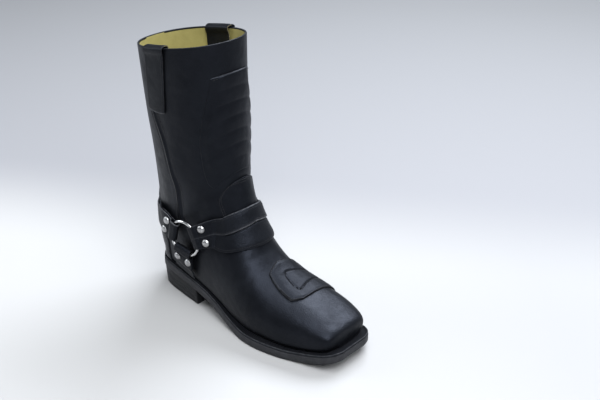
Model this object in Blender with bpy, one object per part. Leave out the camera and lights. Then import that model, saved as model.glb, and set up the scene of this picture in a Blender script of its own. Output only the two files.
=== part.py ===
"""Harness motorcycle boot for the right foot, standing empty on its sole.

Frame: +Z up from the floor, toe towards -Y, heel towards +Y, lateral (outer) side -X, medial side +X.
Sizes are in millimetres, and MM turns them into metres where the meshes are made.
"""
import bmesh
import bpy
import numpy as np
from mathutils import Matrix, Vector
from mathutils.bvhtree import BVHTree

MM = 0.001

# Driving sizes of the shell and the sole
WALL = 2.4              # leather and lining of the upper
GAP = 0.3               # between pieces that rest on each other
OVERLAY_GAP = 0.85      # under pieces that lie on the curved upper
WELT_THICK = 3.0
OUTSOLE_THICK = 9.8
SOLE_STACK = OUTSOLE_THICK + GAP + WELT_THICK + GAP
WELT_INSIDE = 4.5       # how far the welt reaches in under the upper
INSOLE_RISE = 1.5       # top of the insole over the welt line
BREAST_Y = -42.0        # front face of the heel
HEEL_TAPER = 2.6        # the heel block is this much smaller at the floor

# Height of the outsole's underside along the foot: toe spring, flat tread, arch and heel seat.
# Columns: along, height.
SOLE_PROFILE = (
    (-264, 14.2), (-240, 7.4), (-215, 2.2), (-195, 0.0), (-138, 0.0), (-112, 4.0),
    (-85, 12.5), (-60, 19.0), (-36, 22.8), (-5, 25.4), (48, 27.0),
)
# How far the sole edge stands out from the upper along the foot. Columns: along, overhang.
SOLE_EDGE = (
    (-250, 10.5), (-244, 7.0), (-225, 5.4), (-150, 8.0), (-95, 4.5), (-62, 3.2), (-20, 3.6), (45, 4.0),
)

# Sections of the last and shaft. Each is a plane from the front ridge line to the welt, or to the
# back seam of the shaft. Lateral and medial are half widths, tuck is the share of them left at the
# welt line, and square is the exponent that makes a section rounder or boxier.
# A front or back height of 0 means on the welt.
# Columns: front_y, front_z, back_y, back_z, lateral, medial, axis, tuck, square.
FRONT_Z, BACK_Y, BACK_Z = 1, 2, 3
SECTIONS = (
    (-250.0, 0.0, -250.0, 0.0, 20.0, 18.0, 6.8, 1.00, 2.60),
    (-249.5, 38.0, -247.5, 0.0, 28.5, 27.0, 6.8, 0.99, 3.40),
    (-246.0, 44.5, -242.5, 0.0, 34.5, 33.5, 6.8, 0.98, 3.50),
    (-232.0, 50.0, -230.0, 0.0, 40.0, 40.0, 6.5, 0.97, 3.30),
    (-209.0, 57.5, -209.0, 0.0, 45.5, 45.5, 5.5, 0.96, 2.90),
    (-178.0, 66.0, -180.0, 0.0, 51.5, 49.0, 3.5, 0.95, 2.45),
    (-151.0, 77.0, -150.0, 0.0, 53.5, 48.0, 1.5, 0.94, 2.20),
    (-129.0, 94.0, -118.0, 0.0, 50.5, 45.5, 0.0, 0.93, 2.10),
    (-113.5, 115.0, -80.0, 0.0, 46.5, 43.0, 0.0, 0.92, 2.00),
    (-102.5, 135.0, -40.0, 0.0, 43.5, 41.5, 0.0, 0.90, 2.00),
    (-96.5, 152.0, -4.0, 0.0, 41.8, 41.5, 0.0, 0.84, 2.00),
    (-92.0, 168.0, 22.0, 0.0, 42.0, 42.0, 0.0, 0.72, 2.00),
    (-89.0, 178.0, 34.0, 0.0, 42.8, 42.8, 0.0, 0.50, 2.00),
    (-87.0, 187.0, 40.5, 0.0, 43.6, 43.4, 0.0, 0.26, 2.00),
    (-85.5, 195.0, 43.0, 0.0, 44.3, 44.0, 0.0, 0.00, 2.00),
    (-83.5, 207.0, 46.0, 56.0, 45.5, 45.0, 0.0, 0.00, 2.00),
    (-81.5, 222.0, 45.0, 82.0, 47.2, 46.5, 0.0, 0.00, 2.00),
    (-79.5, 246.0, 42.5, 124.0, 49.8, 48.5, 0.0, 0.00, 2.05),
    (-78.0, 276.0, 46.0, 182.0, 52.0, 50.0, 0.0, 0.00, 2.10),
    (-77.0, 307.0, 53.5, 241.0, 54.0, 51.5, 0.0, 0.00, 2.15),
    (-76.0, 348.0, 61.0, 322.5, 56.0, 52.5, 0.0, 0.00, 2.20),
)
HEEL_ROW = 14           # first section that closes at the back seam
COLLAR_ROW = len(SECTIONS) - 1
ROW_STEPS = 2           # mesh rows per section
SIDE_STEPS = 12         # mesh columns on each side of the ridge line

# Overlays on the upper. The tables give a side share for each section.
OVERLAY_THICK = 1.1     # counter, tongue and base of the shin pad
PAD_THICK = 1.6         # vamp pad
PAD_RIM = 0.6           # vamp pad at its edges
PAD_EDGE = ((4.57, -0.045), (4.85, -0.137), (6.23, -0.099), (6.55, 0.010))   # its lateral edge
PAD_END = 0.95          # its medial end, just over the welt
RIB_COUNT = 7           # quilted ribs of the shin pad
RIB_HEIGHT = 1.3
SHIN_PAD_SIDE = ((13.75, 0.24), (14.8, 0.27), (16.9, 0.285), (19.15, 0.175))
TONGUE_SIDE = ((8.3, 0.235), (11.4, 0.235), (12.2, 0.20), (12.55, 0.135))
SEAM_SIDE = ((13.4, 0.489), (16.0, 0.478), (17.0, 0.508), (17.9, 0.535), (18.68, 0.576))
SEAM_WIDTH = 5.0
SEAM_HEIGHT = 1.4
COUNTER_REACH = 82.0    # degrees to each side of the back
COUNTER_CENTRE = 6.0    # middle of the heel's round, along the foot
COUNTER_RADIUS = 38.0
COUNTER_HEIGHT = (112.0, 152.0)         # top edge at the sides and at the back
COUNTER_CLEAR = 1.2     # over the welt line

# Harness: straps, rings and rivets
STRAP_THICK = 1.8
STRAP_LIFT = 2.8        # underside of a strap over the upper, clear of what lies beneath it
RING_RADIUS = 22.5      # middle of the wire
RING_WIRE = 3.6
POCKET = RING_WIRE + 2 * GAP
FOLD_AT = 13.5          # from the ring's centre to the strap's folded edge
POCKET_END = 25.0
TAIL_END = 41.0         # the folded tail ends here, under the strap
RUN_START = 48.0        # from here the strap is a single layer
FLAT_UNTIL = 27.0       # the straps follow the flat ring up to here
RIVET_AT = 33.0
RIVET_SPREAD = 9.0
RIVET_RADIUS = 4.8
RIVET_HEIGHT = 2.6
RING_PLACE = (10.8, 0.485)              # ring centre on the upper: section, share of the half girth
STRAP_ANGLES = {"front": 156.0, "heel": 13.0, "lower": -80.0}   # from straight back, upwards
LEAVE_STEPS = (15.0, 30.0, 45.0)        # each strap leaves the ring straight through these distances
LOWER_STRAP_REACH = 54.7                # the lower straps end here, just over the welt
FRONT_STRAP_PLACES = ((9.05, 0.24), (8.53, 0.0))                # then over the ridge line
HEEL_STRAP_PLACES = ((16.5, 1.0),)                              # then over the back seam
# Strap widths. Columns: distance from the ring, half width.
FRONT_STRAP_WIDTH = ((12, 14.0), (36, 16.5), (60, 22.0), (110, 27.0))
HEEL_STRAP_WIDTH = ((12, 12.0), (36, 15.5), (90, 18.5))
LOWER_STRAP_WIDTH = ((12, 12.0), (36, 15.5), (58, 20.0))
STEP_THICK = 1.5        # the front strap's upper band over its lower band
# The front strap's step, above its middle. Columns: distance from the ring, share of the half width.
RIDGE_SIDE = ((48, -0.05), (75, 0.06), (115, 0.30))

# Pull straps over the collar
PULL_SIDE = {"lateral": 0.503, "medial": 0.535}         # its middle on the collar, share of the half girth
PULL_HALF_WIDTH = 19.5
PULL_OUTSIDE = 86.0     # length down the outer face
PULL_INSIDE = 60.0
PULL_DRIFT = 0.17       # the outer leg runs this much towards the heel for its length
PULL_SLANT = 0.5        # its end rises this much towards the heel for its width
PULL_THICK = 1.8
PULL_BEND = ((14.0, 0.3), (6.0, 2.0))   # distance under the collar, and how far the strap stands off there
LOOP_RISE = 3.2         # middle of the loop over the collar
LOOP_REACH = 5.5        # half width of the loop, across the wall

# Shape functions
def smooth(table, at):
    """Height at each place along a table of (place, height), with no overshoot between the rows."""
    place, height = np.array(table, float).T
    span = np.diff(place)
    slope = np.diff(height) / span
    tangent = np.zeros(len(place))
    tangent[0], tangent[-1] = slope[0], slope[-1]
    for k in range(1, len(place) - 1):
        if slope[k - 1] * slope[k] > 0:
            tangent[k] = 2 * slope[k - 1] * slope[k] / (slope[k - 1] + slope[k])
    at = np.clip(np.asarray(at, float), place[0], place[-1])
    k = np.clip(np.searchsorted(place, at) - 1, 0, len(span) - 1)
    t = (at - place[k]) / span[k]
    start = (2 * t**3 - 3 * t**2 + 1) * height[k] + (t**3 - 2 * t**2 + t) * span[k] * tangent[k]
    end = (3 * t**2 - 2 * t**3) * height[k + 1] + (t**3 - t**2) * span[k] * tangent[k + 1]
    return start + end


def tread_height(along):
    return smooth(SOLE_PROFILE, along)


def welt_line(along):
    """Height of the upper's lower edge, just over the welt."""
    return tread_height(along) + SOLE_STACK


def seated_sections():
    rows = np.array(SECTIONS, float)
    for column in (FRONT_Z, BACK_Z):
        on_welt = rows[:, column] == 0.0
        rows[on_welt, column] = welt_line(rows[on_welt, column - 1])
    return rows


ROWS = seated_sections()


def section(u):
    """All the columns of the section table at place u, smooth from row to row."""
    u = np.clip(np.asarray(u, float), 0, COLLAR_ROW)
    k = np.minimum(u.astype(int), COLLAR_ROW - 1)
    t = (u - k)[..., None]
    before, here = ROWS[np.maximum(k - 1, 0)], ROWS[k]
    after, later = ROWS[k + 1], ROWS[np.minimum(k + 2, COLLAR_ROW)]
    cubic = 3 * (here - after) + later - before
    square = 2 * before - 5 * here + 4 * after - later
    columns = here + 0.5 * t * ((after - before) + t * (square + t * cubic))
    columns[..., BACK_Z] = np.where(u <= HEEL_ROW, welt_line(columns[..., BACK_Y]), columns[..., BACK_Z])
    return columns


def signed_power(x, exponent):
    return np.sign(x) * np.abs(x) ** exponent


def wrapped(v):
    """Side share brought back between -1 and 1 where it runs on past the back seam."""
    return np.where(np.abs(v) > 1, (v + 1) % 2 - 1, v)


def surface(u, v):
    """Outer face of the upper: u counts sections from toe to collar, v runs from the ridge line
    (0) to the welt or the back seam, -1 on the lateral side and 1 on the medial side."""
    u, v = np.broadcast_arrays(np.asarray(u, float), np.asarray(v, float))
    v = wrapped(v)
    front_y, front_z, back_y, back_z, lateral, medial, axis, tuck, square = np.moveaxis(section(u), -1, 0)
    tucked = np.arcsin(np.clip(tuck, 0, 1) ** (square / 2))
    half_turn = np.pi - tucked
    spread = np.clip(0.9 * np.pi / np.maximum(tucked, 0.1), 1, 5)
    turn = np.pi * np.abs(v) - tucked * np.abs(v) ** spread
    width = np.where(v < 0, lateral, medial)
    x = axis + np.sign(v) * width * signed_power(np.sin(turn), 2 / square)
    down = 1 - signed_power(np.cos(turn), 2 / square)
    share = down / (1 - signed_power(np.cos(half_turn), 2 / square))
    return np.stack([x, front_y + (back_y - front_y) * share, front_z + (back_z - front_z) * share], -1)


def unit(vectors):
    return vectors / np.linalg.norm(vectors, axis=-1, keepdims=True)


def slopes(u, v):
    """Steps of the surface for a unit of u and of v."""
    du, dv = 0.02, 0.004
    low, high = np.clip(u - du, 0, COLLAR_ROW), np.clip(u + du, 0, COLLAR_ROW)
    along_u = (surface(high, v) - surface(low, v)) / (high - low)[..., None]
    along_v = (surface(u, v + dv) - surface(u, v - dv)) / (2 * dv)
    return along_u, along_v


def normal(u, v):
    """Outward direction, read a little inside the edges where the surface is well formed."""
    u, v = np.broadcast_arrays(np.asarray(u, float), np.asarray(v, float))
    inside = np.where(u < HEEL_ROW, np.clip(wrapped(v), -0.96, 0.96), v)
    along_u, along_v = slopes(np.clip(u, 0.3, COLLAR_ROW), inside)
    return unit(np.cross(along_u, along_v) * -1)


def lifted(u, v, height):
    return surface(u, v) + normal(u, v) * np.asarray(height, float)[..., None]


def nearest(points, u, v):
    """Place on the upper that is closest to each point, from a first guess."""
    for _ in range(14):
        along_u, along_v = slopes(u, v)
        miss = points - surface(u, v)
        uu, vv = (along_u**2).sum(-1), (along_v**2).sum(-1)
        uv = (along_u * along_v).sum(-1)
        ru, rv = (along_u * miss).sum(-1), (along_v * miss).sum(-1)
        det = uu * vv - uv**2
        u = np.clip(u + np.clip((ru * vv - rv * uv) / det, -0.4, 0.4), 0.3, COLLAR_ROW)
        v = v + np.clip((rv * uu - ru * uv) / det, -0.06, 0.06)
        v = np.where(u < HEEL_ROW, np.clip(wrapped(v), -0.995, 0.995), v)
    return u, v


# Mesh helpers
def make_material(name, colour, roughness, metallic):
    material = bpy.data.materials.new(name)
    material.use_nodes = True
    shader = material.node_tree.nodes["Principled BSDF"]
    shader.inputs["Base Color"].default_value = (*colour, 1.0)
    shader.inputs["Roughness"].default_value = roughness
    shader.inputs["Metallic"].default_value = metallic
    return material


def make_solid(name, points, faces, material):
    """One object from points in millimetres, with its faces turned outwards."""
    mesh = bpy.data.meshes.new(name)
    mesh.from_pydata([tuple(p) for p in np.asarray(points) * MM], [], faces)
    work = bmesh.new()
    work.from_mesh(mesh)
    bmesh.ops.triangulate(work, faces=work.faces[:])
    bmesh.ops.recalc_face_normals(work, faces=work.faces[:])
    work.to_mesh(mesh)
    work.free()
    mesh.materials.append(material)
    mesh.shade_smooth()
    mesh.set_sharp_from_angle(angle=np.radians(35))
    piece = bpy.data.objects.new(name, mesh)
    bpy.context.collection.objects.link(piece)
    return piece


def place(piece, centre, first, second, axis):
    """Puts a piece made round the origin at a centre in millimetres, with its own axes."""
    turn = Matrix(np.column_stack([first, second, axis]).tolist()).to_4x4()
    piece.matrix_world = Matrix.Translation(Vector(centre * MM)) @ turn


def shell(name, lower, upper, material):
    """Closed plate between two grids of points with the same rows and columns."""
    rows, columns = lower.shape[:2]
    size = rows * columns
    faces = []

    def at(i, j, top):
        return i * columns + j + (size if top else 0)

    for i in range(rows - 1):
        for j in range(columns - 1):
            for top in (False, True):
                faces.append((at(i, j, top), at(i, j + 1, top), at(i + 1, j + 1, top), at(i + 1, j, top)))
    for i in range(rows - 1):
        for j in (0, columns - 1):
            faces.append((at(i, j, False), at(i + 1, j, False), at(i + 1, j, True), at(i, j, True)))
    for j in range(columns - 1):
        for i in (0, rows - 1):
            faces.append((at(i, j, False), at(i, j + 1, False), at(i, j + 1, True), at(i, j, True)))
    points = np.concatenate([lower.reshape(-1, 3), upper.reshape(-1, 3)])
    return make_solid(name, points, faces, material)


# Sole
def sole_outline(offset_of):
    """Lateral and medial edge points of the welt line moved out by an offset along the foot."""
    u = np.linspace(0, HEEL_ROW, 2 * HEEL_ROW + 1)
    lateral, medial = surface(u, -1.0)[:, :2], surface(u, 1.0)[:, :2]
    loop = np.concatenate([lateral, medial[-2::-1]])
    along = np.roll(loop, -1, 0) - np.roll(loop, 1, 0)
    outward = unit(np.stack([along[:, 1], -along[:, 0]], -1)) * -1
    moved = loop + outward * offset_of(loop[:, 1])[:, None]
    count = len(lateral)
    return moved[:count], moved[count - 1:][::-1]


def edge_overhang(along):
    return smooth(SOLE_EDGE, along)


def ring_points(outline, height_of):
    """Closed loop of an outline: lateral from toe to heel, then medial back to the toe."""
    lateral, medial = outline
    loop = np.concatenate([lateral, medial[-2::-1]])
    return np.column_stack([loop, height_of(loop[:, 1])])


def band_faces(loops, size, closed):
    """Side faces between loops that lie on each other."""
    faces = []
    for k in range(loops if closed else loops - 1):
        here, above = k * size, ((k + 1) % loops) * size
        for j in range(size):
            after = (j + 1) % size
            faces.append((here + j, here + after, above + after, above + j))
    return faces


def cap_faces(start, size):
    """Flat cover of one loop, in strips from the lateral to the medial side."""
    stations = (size + 1) // 2
    faces = []
    for k in range(stations - 1):
        lateral, lateral_next = start + k, start + k + 1
        medial, medial_next = start + size - 1 - k, start + size - 2 - k
        if lateral_next == medial_next:
            faces.append((lateral, lateral_next, medial))
        else:
            faces.append((lateral, lateral_next, medial_next, medial))
    return faces


def stacked_solid(name, loops, material):
    """Solid through loops from the lowest to the highest, covered at both ends."""
    size = len(loops[0])
    faces = band_faces(len(loops), size, closed=False)
    faces += cap_faces(0, size) + cap_faces((len(loops) - 1) * size, size)
    return make_solid(name, np.concatenate(loops), faces, material)


def make_outsole(material):
    edge, bevel = 1.4, 1.0
    full = sole_outline(edge_overhang)
    bottom = sole_outline(lambda y: edge_overhang(y) - edge)
    top = sole_outline(lambda y: edge_overhang(y) - 0.6)
    loops = [
        ring_points(bottom, tread_height),
        ring_points(full, lambda y: tread_height(y) + bevel),
        ring_points(full, lambda y: tread_height(y) + OUTSOLE_THICK - bevel),
        ring_points(top, lambda y: tread_height(y) + OUTSOLE_THICK),
    ]
    return stacked_solid("outsole", loops, material)


def make_welt(material):
    step = 0.7
    low = OUTSOLE_THICK + GAP
    outer = sole_outline(lambda y: edge_overhang(y) - step)
    crown = sole_outline(lambda y: edge_overhang(y) - 2 * step)
    inner = sole_outline(lambda y: np.full(len(y), -WELT_INSIDE))
    loops = [
        ring_points(inner, lambda y: tread_height(y) + low),
        ring_points(outer, lambda y: tread_height(y) + low),
        ring_points(outer, lambda y: tread_height(y) + low + WELT_THICK - step),
        ring_points(crown, lambda y: tread_height(y) + low + WELT_THICK),
        ring_points(inner, lambda y: tread_height(y) + low + WELT_THICK),
    ]
    size = len(loops[0])
    faces = band_faces(len(loops), size, closed=True)
    return make_solid("welt", np.concatenate(loops), faces, material)


def make_insole(material):
    inset = WELT_INSIDE + GAP
    outline = sole_outline(lambda y: np.full(len(y), -inset))
    loops = [
        ring_points(outline, lambda y: tread_height(y) + OUTSOLE_THICK + GAP),
        ring_points(outline, lambda y: welt_line(y) + INSOLE_RISE),
    ]
    return stacked_solid("insole", loops, material)


def heel_outline(inset):
    """The sole outline behind the breast, with a corner on the breast at each side."""
    sides = []
    for side in sole_outline(lambda y: edge_overhang(y) - inset):
        behind = side[side[:, 1] > BREAST_Y + 3]
        corner = np.interp(BREAST_Y, side[:, 1], side[:, 0])
        sides.append(np.concatenate([[(corner, BREAST_Y)], behind]))
    count = min(len(s) for s in sides)
    return [np.concatenate([s[:1], s[len(s) - count + 1:]]) for s in sides]


def make_heel(material):
    round_edge = 1.2
    loops = [
        ring_points(heel_outline(HEEL_TAPER + round_edge), lambda y: np.zeros(len(y))),
        ring_points(heel_outline(HEEL_TAPER), lambda y: np.full(len(y), round_edge)),
        ring_points(heel_outline(0.8), lambda y: tread_height(y) - GAP),
    ]
    return stacked_solid("heel", loops, material)


# Upper
def make_upper(material):
    rows = COLLAR_ROW * ROW_STEPS + 1
    columns = 2 * SIDE_STEPS + 1
    closing = HEEL_ROW * ROW_STEPS
    u, v = np.meshgrid(np.linspace(0, COLLAR_ROW, rows), np.linspace(-1, 1, columns), indexing="ij")
    outer, inner = surface(u, v), lifted(u, v, np.full(u.shape, -WALL))
    edge = np.zeros(u.shape, bool)
    edge[0] = True
    edge[:closing, [0, -1]] = True
    inner[edge, 2] = outer[edge, 2]
    points, index = [], np.zeros((2, rows, columns), int)
    for layer, grid in enumerate((outer, inner)):
        for i in range(rows):
            for j in range(columns):
                if i >= closing and j == columns - 1:
                    index[layer, i, j] = index[layer, i, 0]
                    continue
                index[layer, i, j] = len(points)
                points.append(grid[i, j])
    faces = []
    for layer in index:
        for i in range(rows - 1):
            for j in range(columns - 1):
                quad = (layer[i, j], layer[i, j + 1], layer[i + 1, j + 1], layer[i + 1, j])
                faces.append(tuple(int(k) for k in dict.fromkeys(quad)))
    out, into = index
    for i in (0, rows - 1):
        for j in range(columns - 1):
            faces.append(tuple(int(k) for k in (out[i, j], out[i, j + 1], into[i, j + 1], into[i, j])))
    for j in (0, columns - 1):
        for i in range(closing):
            faces.append(tuple(int(k) for k in (out[i, j], out[i + 1, j], into[i + 1, j], into[i, j])))
    return make_solid("upper", points, faces, material)


# Overlays
def plate_on_upper(name, u, v, low, high, material):
    """Closed plate on the upper between two heights over it, on a grid of places."""
    low, high = np.broadcast_to(low, u.shape), np.broadcast_to(high, u.shape)
    return shell(name, lifted(u, v, low), lifted(u, v, high), material)


def side_grid(table, rows, columns):
    """Grid of places in even steps along the ridge line, as wide to both sides of it as a table says."""
    fine = np.linspace(table[0][0], table[-1][0], 60)
    steps = np.linalg.norm(np.diff(surface(fine, 0.0), axis=0), axis=1)
    travel = np.concatenate([[0], np.cumsum(steps)])
    along = np.interp(np.linspace(0, travel[-1], rows), travel, fine)
    u, share = np.meshgrid(along, np.linspace(-1, 1, columns), indexing="ij")
    return u, share * smooth(table, along)[:, None], share


def make_shin_pad(material):
    """Quilted pad down the front of the shaft, with padded ribs across it."""
    rows = 3 * RIB_COUNT + 1
    u, v, share = side_grid(SHIN_PAD_SIDE, rows, columns=7)
    swell = np.abs(np.sin(np.pi * RIB_COUNT * np.linspace(0, 1, rows))) ** 0.6
    rib = RIB_HEIGHT * swell[:, None] * (1 - share**4)
    return plate_on_upper("shin_pad", u, v, OVERLAY_GAP, OVERLAY_GAP + OVERLAY_THICK + rib, material)


def make_tongue(material):
    """Top tab of the vamp, with round corners, under the front strap."""
    u, v, _ = side_grid(TONGUE_SIDE, rows=9, columns=9)
    return plate_on_upper("tongue", u, v, OVERLAY_GAP, OVERLAY_GAP + OVERLAY_THICK, material)


def make_vamp_pad(material):
    """Shifter pad that wraps from the top of the vamp down the medial side to the welt."""
    share = np.linspace(0, 1, 11)
    along = PAD_EDGE[0][0] + (PAD_EDGE[-1][0] - PAD_EDGE[0][0]) * share
    lateral_edge = smooth(PAD_EDGE, along)[:, None]
    u, across = np.meshgrid(along, np.linspace(0, 1, 11), indexing="ij")
    v = lateral_edge + (PAD_END - lateral_edge) * across
    from_edge = np.minimum(share, 1 - share)[:, None]
    round_over = np.clip(6 * from_edge, 0, 1) * np.clip(6 * across, 0, 1)
    high = OVERLAY_GAP + PAD_RIM + (PAD_THICK - PAD_RIM) * np.sqrt(round_over)
    return plate_on_upper("vamp_pad", u, v, OVERLAY_GAP, high, material)


def find_places(points):
    """Section and side of the closest place on the upper, found from a coarse search."""
    u, v = np.meshgrid(np.linspace(0.5, COLLAR_ROW, 79), np.linspace(-0.98, 1.0, 100), indexing="ij")
    samples = surface(u, v).reshape(-1, 3)
    flat = points.reshape(-1, 3)
    first = [int(((samples - p) ** 2).sum(-1).argmin()) for p in flat]
    u, v = nearest(flat, u.reshape(-1)[first], v.reshape(-1)[first])
    return u.reshape(points.shape[:-1]), v.reshape(points.shape[:-1])


def make_counter(material):
    """Heel counter from side to side, up to above the heel strap at the back."""
    rows, columns = 7, 17
    angle = np.radians(np.linspace(-COUNTER_REACH, COUNTER_REACH, columns))
    x, y = COUNTER_RADIUS * np.sin(angle), COUNTER_CENTRE + COUNTER_RADIUS * np.cos(angle)
    low, high = COUNTER_HEIGHT
    top = low + (high - low) * np.clip(np.cos(angle), 0, 1) ** 1.5
    bottom = welt_line(y) + COUNTER_CLEAR
    z = bottom + (top - bottom) * np.linspace(0, 1, rows)[:, None]
    points = np.stack([np.broadcast_to(x, z.shape), np.broadcast_to(y, z.shape), z], -1)
    u, v = find_places(points)
    return plate_on_upper("counter", u, v, OVERLAY_GAP, OVERLAY_GAP + OVERLAY_THICK, material)


def make_side_seam(name, side, material):
    """Raised seam down the side of the shaft, from under the pull strap to the ring."""
    u = np.linspace(SEAM_SIDE[-1][0], SEAM_SIDE[0][0], 15)
    v = side * smooth(SEAM_SIDE, u)
    along = unit(np.gradient(surface(u, v), axis=0))
    across = np.cross(normal(u, v), along)
    spread = np.array([-1.0, 0.0, 1.0]) * SEAM_WIDTH / 2
    points = surface(u, v)[:, None] + across[:, None] * spread[:, None]
    guess_u, guess_v = np.repeat(u[:, None], 3, 1), np.repeat(v[:, None], 3, 1)
    u, v = nearest(points, guess_u, guess_v)
    round_top = OVERLAY_GAP + SEAM_HEIGHT * np.array([0.5, 1.0, 0.5])
    return plate_on_upper(name, u, v, OVERLAY_GAP, np.broadcast_to(round_top, u.shape), material)


# Harness
def smoothstep(low, high, x):
    t = np.clip((x - low) / (high - low), 0, 1)
    return t * t * (3 - 2 * t)


class RingSeat:
    """Flat frame of one ring: its centre on the upper, its axes and the lift that clears the upper."""

    def __init__(self, side):
        u, v = np.array(RING_PLACE[0]), np.array(RING_PLACE[1] * side)
        self.centre, self.axis = surface(u, v), normal(u, v)
        near = np.linspace(-FLAT_UNTIL, FLAT_UNTIL, 9)
        a, b = np.meshgrid(near, near)
        across = unit(np.cross(self.axis, (0, 0, 1.0)))
        upward = np.cross(across, self.axis)
        disc = self.centre + a[..., None] * across + b[..., None] * upward
        places = nearest(disc, np.full(a.shape, float(u)), np.full(a.shape, float(v)))
        heights = (surface(*places) - self.centre) @ self.axis
        self.rise = max(0.0, float(heights[np.hypot(a, b) <= FLAT_UNTIL].max()))
        self.across, self.upward = across, upward

    def flatten(self, base, height):
        """Points over the ring's own plane instead of over the curved upper."""
        drop = (base - self.centre) @ self.axis
        return base + self.axis * (self.rise + height - drop)[..., None]


class Strap:
    """Band along a line of places on the upper, from one ring to another ring or to a free end."""

    def __init__(self, places, widths, seats):
        self.places, self.widths, self.seats = np.array(places), widths, seats
        points = surface(*self.places.T)
        steps = np.linalg.norm(np.diff(points, axis=0), axis=1)
        self.travel = np.concatenate([[0], np.cumsum(steps)])
        self.length = self.travel[-1]

    def from_ring(self, s):
        """Distance to the nearer ring along the strap."""
        return np.minimum(s, self.length - s) if len(self.seats) == 2 else s

    def point(self, s, across, height):
        """Point at a length s, a share across the width and a height over the strap's underside."""
        s, across, height = np.broadcast_arrays(*(np.asarray(x, float) for x in (s, across, height)))
        u, v = (np.interp(s, self.travel, column) for column in self.places.T)
        step = 1.0
        ahead = [np.interp(np.clip(s + step, 0, self.length), self.travel, c) for c in self.places.T]
        behind = [np.interp(np.clip(s - step, 0, self.length), self.travel, c) for c in self.places.T]
        along = unit(surface(*ahead) - surface(*behind))
        sideways = np.cross(normal(u, v), along)
        offset = across * smooth(self.widths, self.from_ring(s))
        u, v = nearest(surface(u, v) + sideways * offset[..., None], u, v)
        lift = height + STRAP_LIFT
        result = lifted(u, v, lift)
        for seat, distance in zip(self.seats, (s, self.length - s)):
            flat = 1 - smoothstep(FLAT_UNTIL, RUN_START, distance)
            result += flat[..., None] * (seat.flatten(surface(u, v), lift) - result)
        return result


def fold_path():
    """Middle line of the leather round a ring, as (distance from the ring, height): the tail below,
    the bend through the ring, and the strap on top as far as the end of the tail."""
    bend = (POCKET + STRAP_THICK) / 2
    low, rest = STRAP_THICK / 2, STRAP_THICK * 1.5 + GAP
    path = [(TAIL_END, low), (RIVET_AT - 5, low), (FOLD_AT + 2 * bend, low)]
    for degrees in (270, 225, 180, 135, 90):
        turn = np.radians(degrees)
        path.append((FOLD_AT + bend + bend * np.cos(turn), low + bend + bend * np.sin(turn)))
    top = low + 2 * bend
    slope_end = RIVET_AT - RIVET_RADIUS - 0.8
    path += [(POCKET_END, top), ((POCKET_END + slope_end) / 2, (top + rest) / 2), (slope_end, rest)]
    path += [(TAIL_END + 1, rest), (RUN_START - 2, low + 0.4)]
    return np.array(path)


def ribbon_sides(path):
    """Both faces of a strip of leather along a path of (distance, height)."""
    along = unit(np.gradient(path, axis=0))
    outward = np.stack([-along[:, 1], along[:, 0]], -1) * STRAP_THICK / 2
    return path + outward, path - outward


def make_strap(name, strap, material, stepped=False):
    path = fold_path()
    inner_end = strap.length - RUN_START if len(strap.seats) == 2 else strap.length
    run = np.arange(RUN_START + 3, inner_end - 2, 9.0)
    path = np.concatenate([path, np.column_stack([run, np.full(len(run), STRAP_THICK / 2)])])
    if len(strap.seats) == 2:
        mirrored = fold_path()[::-1]
        mirrored[:, 0] = strap.length - mirrored[:, 0]
        path = np.concatenate([path, mirrored])
    else:
        path = np.concatenate([path, [(strap.length, STRAP_THICK / 2)]])
    under, over = ribbon_sides(path)
    across = np.linspace(-1, 1, 5)
    raised = 0.0
    if stepped:
        from_ring = strap.from_ring(path[:, 0])[:, None]
        ridge = smooth(RIDGE_SIDE, from_ring)
        edge = np.ones(ridge.shape)
        across = np.hstack([-edge, (ridge - 1) / 2, ridge - 0.04, ridge + 0.04, (ridge + 1) / 2, edge])
        band = np.where(across > ridge, STEP_THICK, 0.0)
        raised = smoothstep(RUN_START, RUN_START + 14, from_ring) * band
    lower = strap.point(under[:, :1], across, under[:, 1:])
    upper = strap.point(over[:, :1], across, over[:, 1:] + raised)
    return shell(name, lower, upper, material)


def make_ring(name, seat, material):
    turns, sides = 24, 6
    around, about = np.meshgrid(np.arange(turns) * 2 * np.pi / turns, np.arange(sides) * 2 * np.pi / sides,
                                indexing="ij")
    reach = RING_RADIUS + RING_WIRE / 2 * np.cos(about)
    points = np.stack([reach * np.cos(around), reach * np.sin(around), RING_WIRE / 2 * np.sin(about)], -1)
    faces = []
    for i in range(turns):
        for j in range(sides):
            after_i, after_j = (i + 1) % turns, (j + 1) % sides
            faces.append((i * sides + j, i * sides + after_j, after_i * sides + after_j, after_i * sides + j))
    ring = make_solid(name, points.reshape(-1, 3), faces, material)
    height = STRAP_LIFT + STRAP_THICK + POCKET / 2 + seat.rise
    place(ring, seat.centre + seat.axis * height, seat.upward, seat.across, seat.axis)


def clearance(piece, points, axis):
    """Least distance from the points down to a piece, against an axis."""
    mesh = piece.data
    tree = BVHTree.FromPolygons([v.co for v in mesh.vertices], [tuple(p.vertices) for p in mesh.polygons])
    distances = [tree.ray_cast(Vector(p * MM), Vector(-axis))[3] for p in points]
    return min(d for d in distances if d is not None) / MM


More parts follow.
